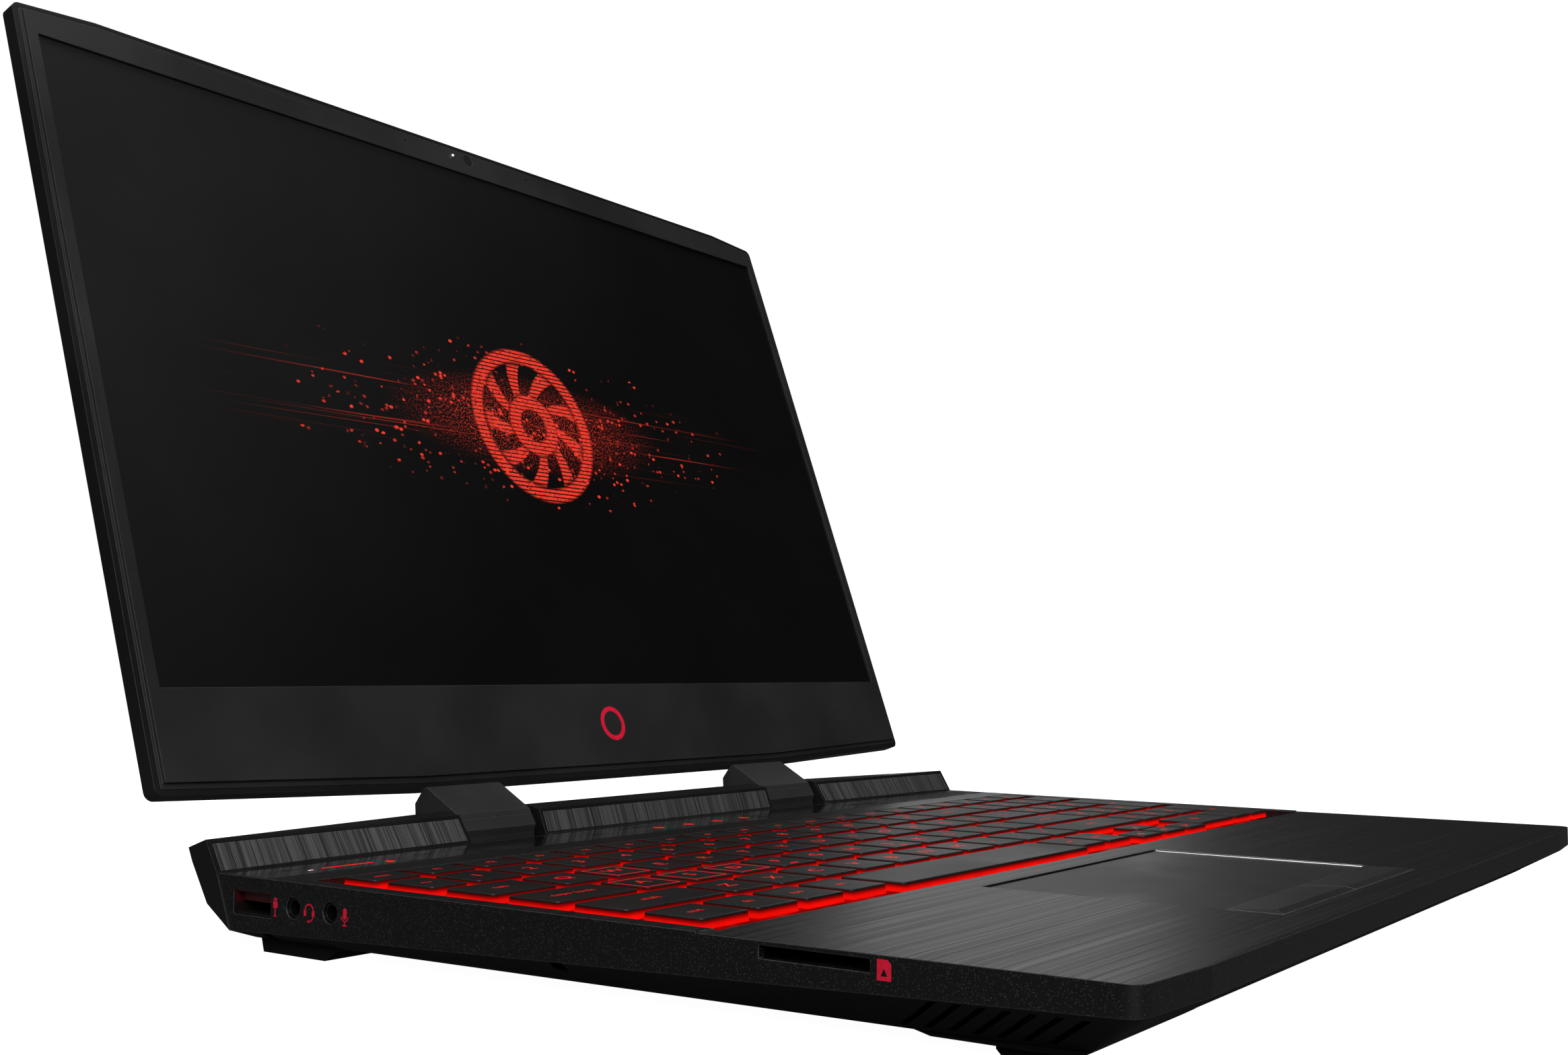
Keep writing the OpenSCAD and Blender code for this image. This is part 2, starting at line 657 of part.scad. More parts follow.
housing_z0 = housing_top - housing_h;
module fan_housings() at_table() color("#222326") both_sides() {
    difference() {
        box([fan_x - housing / 2, fan_x + housing / 2], [fan_y - housing / 2, sink_y0 - 0.4],
            [housing_z0, housing_top]);
        translate([fan_x, fan_y, housing_z0 + 0.8]) cylinder(r = fan_d / 2 + 1.5, h = housing_h - 1.6);
        box([fan_x - fan_d / 2, fan_x + fan_d / 2], [fan_y + 14, far], [housing_z0 + 0.8, housing_top - 0.8]);
        translate([fan_x, fan_y, -far]) cylinder(r = eye_r, h = 2 * far);
    }
    for (a = [0, 120, 240]) translate([fan_x, fan_y, housing_z0]) rotate([0, 0, a]) translate([0, -1, 0])
        cube([eye_r + 0.5, 2, 0.8]);
    translate([fan_x, fan_y, housing_z0]) cylinder(r = 4, h = 0.8);
    translate([fan_x, fan_y, housing_z0]) cylinder(r = 0.96, h = 5.4);
}

module fan_rotor(x) at_table() color("#303236") translate([x, fan_y, housing_z0 + 1.4]) {
    difference() {
        cylinder(r = hub_r, h = 4.4);
        translate([0, 0, -1]) cylinder(r = 1, h = 10);
    }
    for (k = [0 : fan_blades - 1]) rotate([0, 0, 360 * k / fan_blades]) translate([hub_r - 1, -0.4, 0.3])
        rotate([0, 0, 12]) cube([fan_d / 2 - hub_r, 0.8, 4]);
}

module fan_rotor_left() fan_rotor(-fan_x);
module fan_rotor_right() fan_rotor(fan_x);

module battery() at_table() color("#18181a") {
    for (k = [0 : 2]) box([-120 + 46 * k, -75.5 + 46 * k], [22, 88], [-12.6, -5.4]);
    box([-120, 16.5], [88, 92], [-12, -7]);
}

module memory_modules() at_table() color("#1f5a3a") for (y = [108, 142]) {
    box([-80, -10.4], [y, y + 30], [-12, -10.9]);
    for (k = [0 : 3]) box([-77 + 17 * k, -65 + 17 * k], [y + 8, y + 20], [-12.9, -12]);
}

module solid_state_drive() at_table() color("#1f4a6a") {
    box([6, 28], [104, 184], [-11.6, -10.8]);
    for (k = [0 : 3]) box([9, 25], [108 + 18 * k, 121 + 18 * k], [-12.7, -11.6]);
}

module wireless_card() at_table() color("#2a5a3a") {
    box([40, 62], [112, 142], [-11.6, -10.8]);
    box([43, 59], [118, 136], [-12.6, -11.6]);
}

module hard_drive() at_table() color("#8d9094") difference() {
    box([27, 127], [18, 87.8], [-12.8, -5.8]);
    for (y = [30, 76]) translate([0, y, -9.3]) rod(1.25, 20, 32);
}

module speakers() at_table() color("#151515") both_sides() difference() {
    box([132, 166], [19, 44], [-12.8, -6.6]);
    translate([149, 31, -9.5]) cylinder(r1 = 6, r2 = 9.5, h = 4);
}

module bottom_screws() at_table() color("#5b5d60") for (p = boss_places) translate([p.x, p.y, floor_z]) {
    difference() {
        cylinder(r = 2.3, h = 0.9);
        translate([0, 0, -1]) cylinder(r = 0.9, h = 1.5, $fn = 6);
    }
    translate([0, 0, 0.9]) cylinder(r = 1.2, h = 4.4);
}

foot_z = floor_z + cover_t;
module hinge_brackets() at_table() color("#8f9296") both_sides() difference() {
    union() {
        translate([0, axis_y, axis_z]) rod(knuckle_r, knuckle_in, knuckle_out);
        box([knuckle_in, knuckle_out], [axis_y - knuckle_r, axis_y - knuckle_r + 3], [foot_z, axis_z]);
        box([knuckle_in, knuckle_out], [axis_y - 18, axis_y - knuckle_r + 3], [foot_z, foot_z + 1.8]);
    }
    translate([0, axis_y, axis_z]) rod(shaft_r + bearing_gap, knuckle_in - 1, knuckle_out + 1);
    translate([(knuckle_in + knuckle_out) / 2, axis_y - 13, -20]) cylinder(r = 1.6, h = 20);
}

// ---------------------------------------------------------------- lid

module lid_outline() polygon([[-half_w, lid_low_side], [-half_w, lid_top - 2.2], [-half_w + 27, lid_top],
    [half_w - 27, lid_top], [half_w, lid_top - 2.2], [half_w, lid_low_side], [89, lid_low], [-89, lid_low]]);
module lid_outline_round() offset(r = 2.5) offset(delta = -2.5) lid_outline();

rim_front = -1.8;
lid_floor = -5.5;
plate_w = -0.6;

module lid_back_cover() at_lid() color("#161618") difference() {
    union() {
        translate([0, 0, -lid_t]) linear_extrude(lid_t + rim_front) lid_outline_round();
        hull() {
            translate([0, 0, -lid_t - e]) linear_extrude(e) offset(delta = -1) lid_outline_round();
            translate([0, 135, -lid_t - crown]) cube([170, 60, e], center = true);
        }
    }
    translate([0, 0, lid_floor]) linear_extrude(20) offset(delta = -1.6) lid_outline_round();
    lid_foot_cut();
    both_sides() box([leaf_in - 0.1, leaf_out + 0.1], [5, 20], [lid_floor, leaf_w1 + 0.1]);
}

// The lower end of the lid leans back, following the bent lower edge.
module lid_foot_cut() {
    both_sides() translate([89, lid_low, rim_front])
        rotate([0, 0, atan2(lid_low_side - lid_low, half_w - 89)])
        rotate([-foot_lean, 0, 0]) translate([-60, -20, -20]) cube([200, 20, 40]);
    translate([-far, lid_low, rim_front]) rotate([-foot_lean, 0, 0])
        translate([0, -20, -20]) cube([2 * far, 20, 40]);
}

module bezel_outline() intersection() {
    offset(delta = -2.6) lid_outline_round();
    union() {
        translate([-far, 21.4]) square([2 * far, far]);
        polygon([[-half_w, 21.4], [-89, 18.6], [89, 18.6], [half_w, 21.4]]);
    }
}

module screen_bezel() at_lid() color("#1d1d1f") difference() {
    union() {
        translate([0, 0, -1.7]) linear_extrude(1.1) bezel_outline();
        translate([0, 0, lid_floor + 0.6]) linear_extrude(3.2) difference() {
            offset(delta = -1.7) lid_outline_round();
            translate([-screen_w / 2 - 4.5, 41]) square([screen_w + 9, 206.5]);
        }
    }
    translate([-opening_w / 2, opening_y0, -far]) cube([opening_w, opening_h, 2 * far]);
    lens_holes();
    translate([0, emblem_y, plate_w - 0.3]) ring(emblem_r, emblem_r - 1.6, 5);
    both_sides() box([leaf_in - 0.1, leaf_out + 0.1], [5, leaf_top + 0.2], [-far, leaf_w1 + 0.1]);
}

module lens_holes() {
    for (x = [148.6, 210.7]) translate([x - half_w, camera_y, -far]) cylinder(r = 0.45, h = 2 * far);
    translate([171.4 - half_w, camera_y, -far]) cylinder(r = 0.6, h = 2 * far);
    translate([-0.5, camera_y, -far]) cylinder(r = 2.2, h = 2 * far);
    box([-34, 34], [camera_y - 3.4, camera_y + 3.2], [-far, -1.75]);
}

module screen_panel() at_lid() color("#050506") box([-screen_w / 2 - 4.3, screen_w / 2 + 4.3], [41.2, 246.5],
    [lid_floor + 0.1, -1.72]);

module camera_module() at_lid() {
    color("#1d4030") box([-33.5, 33.5], [camera_y - 3, camera_y + 3], [-3.4, -2.6]);
    color("#0a0a0c") translate([-0.5, camera_y, -2.6]) cylinder(r = 2.15, h = 1.9);
    color("#e0e0e0") translate([171.4 - half_w, camera_y, -2.6]) cylinder(r = 0.55, h = 1.9);
}

module ring(outer, inner, h) difference() {
    cylinder(r = outer, h = h);
    translate([0, 0, -1]) cylinder(r = inner, h = h + 2);
}

module emblem() at_lid() color("#c01028") translate([0, emblem_y, plate_w - 0.3])
    ring(emblem_r - 0.02, emblem_r - 1.58, 0.35);

// Section of an arm: v up the lid, w towards the user.
module arm_section() union() {
    circle(9.4);
    polygon([[lid_low, -0.3], [lid_low, rim_front], [lid_low - 4.6 * tan(foot_lean), -6.4], [2, -9.1],
        [-2, -9], [-8.5, 2], [-6.6, 6.5], [-1.2, arm_r - 0.1], [4.1, 9.1]]);
}

// Steel leaf that runs from the shaft up into the lid
module leaf_section() {
    circle(shaft_r);
    polygon([[0, -2.5], [2.6, -1.5], [7, leaf_w1], [leaf_top, leaf_w1], [leaf_top, leaf_w0], [3, leaf_w0]]);
}

module hinge_arms() at_lid() color("#2f3033") both_sides() difference() {
    along_x(arm_in, arm_out) arm_section();
    rod(shaft_r, shaft_in, shaft_out);
    along_x(leaf_in, leaf_out) leaf_section();
    along_x(arm_in - 1, arm_out + 1) polygon([[2.4, 9.4], [2.6, 12], [2.8, 12], [2.6, 9.2]]);
}

module hinge_shafts() at_lid() color("#a8abaf") both_sides() difference() {
    union() {
        rod(shaft_r, shaft_in, shaft_out);
        along_x(leaf_in, leaf_out) leaf_section();
    }
    rod(0.8, shaft_in - 1, shaft_in + 3);
    for (x = [leaf_in + 6, leaf_out - 6]) translate([x, leaf_top - 6, -10]) cylinder(r = 1.3, h = 10);
}

top_cover();
bottom_cover();
rear_cover();
hump_panels();
control_strip();
keyboard_tray();
touchpad();
status_lights();
front_feet();
rear_feet();
usb_sockets();
audio_jacks();
card_reader();
rear_sockets();
exhaust_grilles();
motherboard();
heat_sinks();
heat_pipes();
fan_housings();
battery();
memory_modules();
solid_state_drive();
wireless_card();
hard_drive();
speakers();
bottom_screws();
hinge_brackets();
lid_back_cover();
screen_bezel();
screen_panel();
camera_module();
hinge_arms();
hinge_shafts();
emblem();
touchpad_button_left();
touchpad_button_right();
power_button();
fan_rotor_left();
fan_rotor_right();
escape_key();
function_keys();
number_keys();
backspace_key();
upper_letter_keys();
key_w();
middle_letter_keys();
key_a();
key_s();
key_d_letter();
enter_key();
lower_letter_keys();
left_shift_key();
right_shift_key();
modifier_keys();
space_bar();
arrow_left_key();
arrow_down_key();
arrow_right_key();
arrow_up_key();
keypad_keys();
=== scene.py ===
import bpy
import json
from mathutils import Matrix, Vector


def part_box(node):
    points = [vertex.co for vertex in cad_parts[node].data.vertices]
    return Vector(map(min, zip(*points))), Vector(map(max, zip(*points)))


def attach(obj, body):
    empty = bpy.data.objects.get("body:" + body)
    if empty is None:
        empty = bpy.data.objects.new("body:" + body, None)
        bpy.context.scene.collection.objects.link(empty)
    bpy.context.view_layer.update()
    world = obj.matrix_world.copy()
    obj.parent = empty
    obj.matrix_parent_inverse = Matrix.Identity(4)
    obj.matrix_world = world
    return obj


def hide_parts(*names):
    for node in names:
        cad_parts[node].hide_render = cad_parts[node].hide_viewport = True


bl_info = {
    "name": "Backlit Laptop",
    "version": (1, 0, 0),
    "blender": (4, 5, 0),
    "location": "View3D > Sidebar > Laptop",
    "description": "Builds the looks of an open laptop around its packed design",
    "category": "Add Mesh",
}

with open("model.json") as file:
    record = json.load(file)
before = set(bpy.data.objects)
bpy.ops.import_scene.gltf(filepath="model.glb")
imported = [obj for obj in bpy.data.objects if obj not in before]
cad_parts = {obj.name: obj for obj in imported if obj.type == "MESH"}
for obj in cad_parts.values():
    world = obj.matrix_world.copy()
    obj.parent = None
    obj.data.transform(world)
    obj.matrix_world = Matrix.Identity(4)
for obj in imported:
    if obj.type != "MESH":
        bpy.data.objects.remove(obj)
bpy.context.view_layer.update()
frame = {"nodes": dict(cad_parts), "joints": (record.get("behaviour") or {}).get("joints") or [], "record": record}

import json
import math

import bmesh
import bpy
from bpy.props import FloatProperty, FloatVectorProperty, PointerProperty
from mathutils import Matrix, Vector

MM = 0.001
NODES = frame["nodes"]
BODY_OF = {node: body for body, nodes in frame["record"]["behaviour"]["bodies"].items() for node in nodes}
HINGE = next(joint for joint in frame["joints"] if joint["name"] == "lid_hinge")

# Places that follow from the design
DECK_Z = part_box("top_cover")[1][2]
HALF_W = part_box("top_cover")[1][0]
AXIS = Vector(HINGE["pos_m"])
LID_TILT = math.radians(70)
# How far the front edge bows forward of the front corners
FRONT_BOW = 2.04 * MM


def low(node):
    return Vector(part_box(node)[0])


def high(node):
    return Vector(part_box(node)[1])


def middle(node):
    return (low(node) + high(node)) / 2


# ---------------------------------------------------------------- settings


class FinishSettings(bpy.types.PropertyGroup):
    """Colours of the casing, the keys and the light."""
    casing: FloatVectorProperty(
        name="Casing", description="Colour of the brushed deck", subtype="COLOR", size=3,
        default=(0.020, 0.020, 0.021), min=0.0, max=1.0)
    shell: FloatVectorProperty(
        name="Shell", description="Colour of the plastic shells", subtype="COLOR", size=3,
        default=(0.0070, 0.0070, 0.0075), min=0.0, max=1.0)
    cap: FloatVectorProperty(
        name="Keycap", description="Colour of the keycap tops", subtype="COLOR", size=3,
        default=(0.0075, 0.0070, 0.0070), min=0.0, max=1.0)
    glow: FloatVectorProperty(
        name="Backlight", description="Colour of the keyboard's light", subtype="COLOR", size=3,
        default=(1.0, 0.003, 0.001), min=0.0, max=1.0)
    # The printed signs in this colour are drawn with a painted glow.
    mark: FloatVectorProperty(
        name="Signs", description="Colour of the printed signs on the casing", subtype="COLOR", size=3,
        default=(0.62, 0.006, 0.035), min=0.0, max=1.0)
    glow_power: FloatProperty(
        name="Backlight strength", description="Brightness of the light between the keys", default=1.0,
        min=0.0)


class KeySettings(bpy.types.PropertyGroup):
    """Sizes of the keycaps and their letters."""
    corner: FloatProperty(
        name="Corner", description="Radius of a keycap's corners", default=1.0 * MM, unit="LENGTH")
    skirt: FloatProperty(
        name="Skirt", description="Height of the clear red skirt", default=1.85 * MM, unit="LENGTH")
    dish: FloatProperty(
        name="Dish", description="Depth of the hollow in a key's top", default=0.12 * MM, unit="LENGTH")
    letter: FloatProperty(
        name="Letter", description="Height of a letter on a key", default=3.6 * MM, unit="LENGTH")
    word: FloatProperty(
        name="Word", description="Height of a word on a key", default=1.9 * MM, unit="LENGTH")
    ink: FloatProperty(
        name="Ink", description="Thickness of a printed sign", default=0.03 * MM, unit="LENGTH")


class StageSettings(bpy.types.PropertyGroup):
    """Camera and light."""
    place: FloatVectorProperty(
        name="Camera place", description="Where the camera stands", subtype="TRANSLATION", size=3,
        default=(-0.4518, -0.2880, 0.0707))
    aim: FloatVectorProperty(
        name="Camera aim", description="Direction in which the camera looks", subtype="DIRECTION", size=3,
        default=(0.8234, 0.5625, 0.0746))
    roll: FloatProperty(
        name="Camera roll", description="Turn about the line of sight", default=math.radians(0.64),
        unit="ROTATION")
    lens: FloatProperty(name="Lens", description="Focal length in millimetres", default=39.85)
    shift: FloatVectorProperty(
        name="Lens shift", description="Shift of the view to the right and up, as a share of its width",
        size=2, default=(-0.0052, 0.0016))
    key_light: FloatProperty(name="Overhead light", description="Power of the overhead softbox", default=7.0)
    rear_light: FloatProperty(name="Rear light", description="Power of the softbox behind", default=0.42)
    side_light: FloatProperty(
        name="Side light", description="Power of the softbox on the front left", default=11.0)


# ---------------------------------------------------------------- shader groups


class Graph:
    """A node tree that is being drawn up, with short calls for its nodes and links."""

    def __init__(self, tree):
        self.tree = tree

    def add(self, kind, inputs=None, **settings):
        node = self.tree.nodes.new("ShaderNode" + kind)
        for name, value in settings.items():
            setattr(node, name, value)
        for key, value in (inputs or {}).items():
            self.feed(node.inputs[key], value)
        return node

    def feed(self, socket, value):
        if isinstance(value, bpy.types.NodeSocket):
            self.tree.links.new(value, socket)
        else:
            socket.default_value = value

    def math(self, operation, a, b=0.0):
        return self.add("Math", {0: a, 1: b}, operation=operation).outputs[0]

    def fit(self, value, times, plus):
        """The value, times one number and plus another."""
        return self.add("Math", {0: value, 1: times, 2: plus}, operation="MULTIPLY_ADD").outputs[0]

    def blend(self, factor, a, b):
        return self.add("Mix", {0: factor, 6: a, 7: b}, data_type="RGBA").outputs[2]

    def tint(self, base, mask, share, rgb):
        """Lays a colour over the base where the mask is, by a share at most."""
        return self.blend(self.math("MULTIPLY", mask, share), base, rgb)

    def pick(self, factor, a, b):
        return self.add("Mix", {0: factor, 2: a, 3: b}).outputs[0]

    def ramp(self, value, start, end):
        """0 below start, 1 above end, with a smooth change between them."""
        node = self.add("MapRange", {0: value, 1: start, 2: end}, interpolation_type="SMOOTHSTEP")
        return node.outputs[0]

    def noise(self, vector, scale, detail=3.0, roughness=0.55):
        inputs = {"Vector": vector, "Scale": scale, "Detail": detail, "Roughness": roughness}
        return self.add("TexNoise", inputs).outputs["Fac"]

    def cells(self, vector, scale):
        return self.add("TexVoronoi", {"Vector": vector, "Scale": scale}).outputs

    def stretch(self, vector, scale):
        return self.add("VectorMath", {0: vector, 1: scale}, operation="MULTIPLY").outputs[0]

    def split(self, vector):
        return self.add("SeparateXYZ", {0: vector}).outputs


def colour(rgb, times=1.0):
    return (rgb[0] * times, rgb[1] * times, rgb[2] * times, 1.0)


def effect(name, inputs, outputs, draw):
    """A node group with named inputs and outputs, built once."""
    tree = bpy.data.node_groups.get(name)
    if tree:
        return tree
    tree = bpy.data.node_groups.new(name, "ShaderNodeTree")
    for label, kind, default in inputs:
        socket = tree.interface.new_socket(label, in_out="INPUT", socket_type="NodeSocket" + kind)
        if default is not None:
            socket.default_value = default
    for label, kind in outputs:
        tree.interface.new_socket(label, in_out="OUTPUT", socket_type="NodeSocket" + kind)
    graph = Graph(tree)
    start = tree.nodes.new("NodeGroupInput")
    end = tree.nodes.new("NodeGroupOutput")
    for label, socket in draw(graph, start.outputs).items():
        tree.links.new(socket, end.inputs[label])
    return tree


def use(graph, tree, inputs):
    node = graph.tree.nodes.new("ShaderNodeGroup")
    node.node_tree = tree
    for key, value in inputs.items():
        graph.feed(node.inputs[key], value)
    return node.outputs


def brushing():
    """Long fine scratches; Stretch gives how fast they change along each axis."""
    def draw(g, given):
        fine = g.noise(g.stretch(given["Vector"], given["Stretch"]), 1.0, 2.0, 0.6)
        broad = g.noise(g.stretch(given["Vector"], given["Stretch"]), 0.23, 2.0, 0.5)
        streak = g.math("ADD", g.math("MULTIPLY", fine, 0.6), g.math("MULTIPLY", broad, 0.4))
        return {"Streaks": g.ramp(streak, 0.36, 0.64), "Fine": fine}
    return effect("Brushing", [("Vector", "Vector", None), ("Stretch", "Vector", (40.0, 5000.0, 40.0))],
                  [("Streaks", "Float"), ("Fine", "Float")], draw)


def speckle():
    """Small bright flecks and a grainy height, as on sparkling paint."""
    def draw(g, given):
        grain = g.noise(given["Vector"], given["Scale"], 2.0, 0.6)
        cells = g.cells(given["Vector"], given["Scale"])
        lucky = g.split(cells["Color"])[0]
        fleck = g.math("MULTIPLY", g.ramp(lucky, 0.80, 0.86), g.ramp(cells["Distance"], 0.42, 0.2))
        return {"Flecks": fleck, "Height": grain}
    return effect("Speckle", [("Vector", "Vector", None), ("Scale", "Float", 2600.0)],
                  [("Flecks", "Float"), ("Height", "Float")], draw)


def moulding():
    """Spark-eroded grain of moulded plastic, with slow changes of sheen across it."""
    def draw(g, given):
        grain = g.noise(given["Vector"], given["Scale"], 4.0, 0.65)
        slow = g.noise(given["Vector"], 22.0, 3.0, 0.5)
        return {"Grain": grain, "Sheen": g.ramp(slow, 0.3, 0.7)}
    return effect("Moulding", [("Vector", "Vector", None), ("Scale", "Float", 4200.0)],
                  [("Grain", "Float"), ("Sheen", "Float")], draw)


def edge_wear_and_highlight():
    """A mask of the outer edges, broken up by noise, for paler edges that are partly worn and partly a painted
    highlight, and a normal that rounds them.
    """
    def draw(g, given):
        soft = g.add("Bevel", {"Radius": given["Radius"]}, samples=4).outputs[0]
        true = g.add("NewGeometry").outputs["Normal"]
        turn = g.add("VectorMath", {0: soft, 1: true}, operation="DOT_PRODUCT").outputs["Value"]
        patch = g.noise(given["Vector"], given["Scale"], 3.0, 0.6)
        edge = g.ramp(turn, 0.995, 0.93)
        return {"Mask": g.math("MULTIPLY", edge, g.ramp(patch, 0.25, 0.55)), "Normal": soft}
    inputs = [("Vector", "Vector", None), ("Scale", "Float", 300.0), ("Radius", "Float", 0.3 * MM)]
    return effect("EdgeWearAndHighlight", inputs, [("Mask", "Float"), ("Normal", "Vector")], draw)


def dust():
    """Sparse dust that settles on what faces up."""
    def draw(g, given):
        up = g.split(g.add("NewGeometry").outputs["Normal"])[2]
        fluff = g.ramp(g.noise(given["Vector"], given["Scale"], 6.0, 0.8), 0.60, 0.80)
        return {"Mask": g.math("MULTIPLY", fluff, g.ramp(up, 0.4, 0.9))}
    return effect("Dust", [("Vector", "Vector", None), ("Scale", "Float", 900.0)], [("Mask", "Float")], draw)


# ---------------------------------------------------------------- materials


def surface(name):
    """A new material with its graph, its shader and its local coordinates."""
    mat = bpy.data.materials.new(name)
    mat.use_nodes = True
    graph = Graph(mat.node_tree)
    shader = mat.node_tree.nodes["Principled BSDF"]
    place = graph.add("TexCoord").outputs["Object"]
    return mat, graph, shader, place


def set_shader(graph, shader, **values):
    for name, value in values.items():
        graph.feed(shader.inputs[name.replace("_", " ")], value)


def bump(graph, shader, height, strength, under=None, distance=0.02 * MM):
    """Fine relief, on top of the rounded normal if one is given."""
    node = graph.add("Bump", {"Strength": strength, "Distance": distance, "Height": height})
    if under is not None:
        graph.feed(node.inputs["Normal"], under)
    graph.feed(shader.inputs["Normal"], node.outputs[0])


def normal_part(graph, axis):
    return graph.split(graph.add("NewGeometry").outputs["Normal"])[axis]


def moulded(name, rgb, rough=(0.42, 0.58), grain=4200.0, strength=0.25, spec=0.4, lighter=1.5):
    """Moulded plastic: fine grain, uneven sheen, a little dust and paler edges, partly worn and partly a painted
    highlight.
    """
    mat, g, shader, place = surface(name)
    skin = use(g, moulding(), {"Vector": place, "Scale": grain})
    rim_wear_and_highlight = use(g, edge_wear_and_highlight(), {"Vector": place})
    haze = use(g, dust(), {"Vector": place})["Mask"]
    base = g.blend(skin["Sheen"], colour(rgb), colour(rgb, lighter))
    # Paler edges: partly worn, partly a painted highlight.
    base = g.tint(base, rim_wear_and_highlight["Mask"], 0.5, colour(rgb, 5.0))
    base = g.tint(base, haze, 0.03, (0.4, 0.39, 0.37, 1.0))
    sheen = g.fit(skin["Sheen"], rough[1] - rough[0], rough[0])
    set_shader(g, shader, Base_Color=base, Roughness=sheen, Specular_IOR_Level=spec)
    bump(g, shader, skin["Grain"], strength, rim_wear_and_highlight["Normal"])
    return mat


def metal(name, rgb, stretch=(60.0, 60.0, 5000.0), rough=(0.25, 0.45), strength=0.15):
    """Bare metal, turned or brushed along one way."""
    mat, g, shader, place = surface(name)
    lines = use(g, brushing(), {"Vector": place, "Stretch": stretch})
    rim_wear_and_highlight = use(g, edge_wear_and_highlight(), {"Vector": place})
    base = g.blend(lines["Streaks"], colour(rgb, 0.75), colour(rgb, 1.1))
    # Paler edges: partly worn, partly a painted highlight.
    base = g.tint(base, rim_wear_and_highlight["Mask"], 0.4, colour(rgb, 1.5))
    sheen = g.fit(lines["Fine"], rough[1] - rough[0], rough[0])
    set_shader(g, shader, Base_Color=base, Metallic=1.0, Roughness=sheen)
    bump(g, shader, lines["Fine"], strength, rim_wear_and_highlight["Normal"])
    return mat


def glowing_surface(name, rgb, power, shade=0.25):
    """A lit sign: bright in its middle, a little uneven. The emblem and the printed signs on the casing get this
    glow as painted light; they give none of their own.
    """
    mat, g, shader, place = surface(name)
    cloud = g.ramp(g.noise(place, 900.0, 3.0), 0.3, 0.7)
    glow = g.blend(cloud, colour(rgb, 1.0 - shade), colour(rgb))
    set_shader(g, shader, Base_Color=glow, Roughness=0.5, Emission_Color=glow, Emission_Strength=power)
    return mat


def deck_skin(finish):
    """The casing: brushed along X where it faces up, sparkling paint on its walls."""
    rgb = finish.casing
    mat, g, shader, place = surface("BrushedDeck")
    lines = use(g, brushing(), {"Vector": place, "Stretch": (12.0, 4600.0, 28.0)})
    paint = use(g, speckle(), {"Vector": place, "Scale": 3000.0})
    rim_wear_and_highlight = use(g, edge_wear_and_highlight(), {"Vector": place, "Scale": 500.0})
    haze = use(g, dust(), {"Vector": place})["Mask"]
    flat = g.ramp(normal_part(g, 2), 0.97, 0.99)
    top = g.blend(lines["Streaks"], colour(rgb, 0.6), colour(rgb, 1.5))
    side = g.blend(paint["Flecks"], colour(rgb, 0.30), colour(rgb, 3.2))
    base = g.blend(flat, side, top)
    # Painted highlight: edges tinted up to nine times lighter, a thin light line along the rounded edges; partly
    # worn.
    base = g.tint(base, rim_wear_and_highlight["Mask"], 0.6, colour(rgb, 9.0))
    base = g.tint(base, haze, 0.02, (0.4, 0.39, 0.37, 1.0))
    rough_top = g.fit(lines["Streaks"], 0.16, 0.30)
    rough_side = g.fit(paint["Height"], 0.2, 0.30)
    rough = g.pick(flat, rough_side, rough_top)
    height = g.pick(flat, paint["Height"], lines["Fine"])
    set_shader(g, shader, Base_Color=base, Roughness=rough, Metallic=g.math("MULTIPLY", flat, 0.55))
    bump(g, shader, height, 0.35, rim_wear_and_highlight["Normal"])
    return mat


def panel_skin():
    """Hump panels, brushed upright."""
    mat, g, shader, place = surface("UprightBrushing")
    lines = use(g, brushing(), {"Vector": place, "Stretch": (5200.0, 40.0, 20.0)})
    rim_wear_and_highlight = use(g, edge_wear_and_highlight(), {"Vector": place})
    base = g.blend(lines["Streaks"], colour((0.030, 0.030, 0.031)), colour((0.17, 0.17, 0.175)))
    # Paler edges: partly worn, partly a painted highlight.
    base = g.tint(base, rim_wear_and_highlight["Mask"], 0.5, colour((0.16, 0.16, 0.17)))
    rough = g.fit(lines["Fine"], 0.25, 0.32)
    set_shader(g, shader, Base_Color=base, Roughness=rough, Metallic=0.3)
    bump(g, shader, lines["Fine"], 0.5, rim_wear_and_highlight["Normal"])
    return mat


def gloss_skin():
    """The glossy strip in front of the hinge cover: smooth, with fine smudges."""
    mat, g, shader, place = surface("PianoGloss")
    smudge = g.ramp(g.noise(g.stretch(place, (1.0, 2.5, 1.0)), 55.0, 5.0, 0.6), 0.45, 0.75)
    haze = use(g, dust(), {"Vector": place})["Mask"]
    base = g.blend(g.math("MULTIPLY", haze, 0.03), colour((0.0035, 0.0035, 0.004)), (0.3, 0.3, 0.3, 1.0))
    rough = g.fit(smudge, 0.10, 0.12)
    set_shader(g, shader, Base_Color=base, Roughness=rough, Coat_Weight=g.math("SUBTRACT", 0.6, smudge),
               Coat_Roughness=0.08)
    return mat


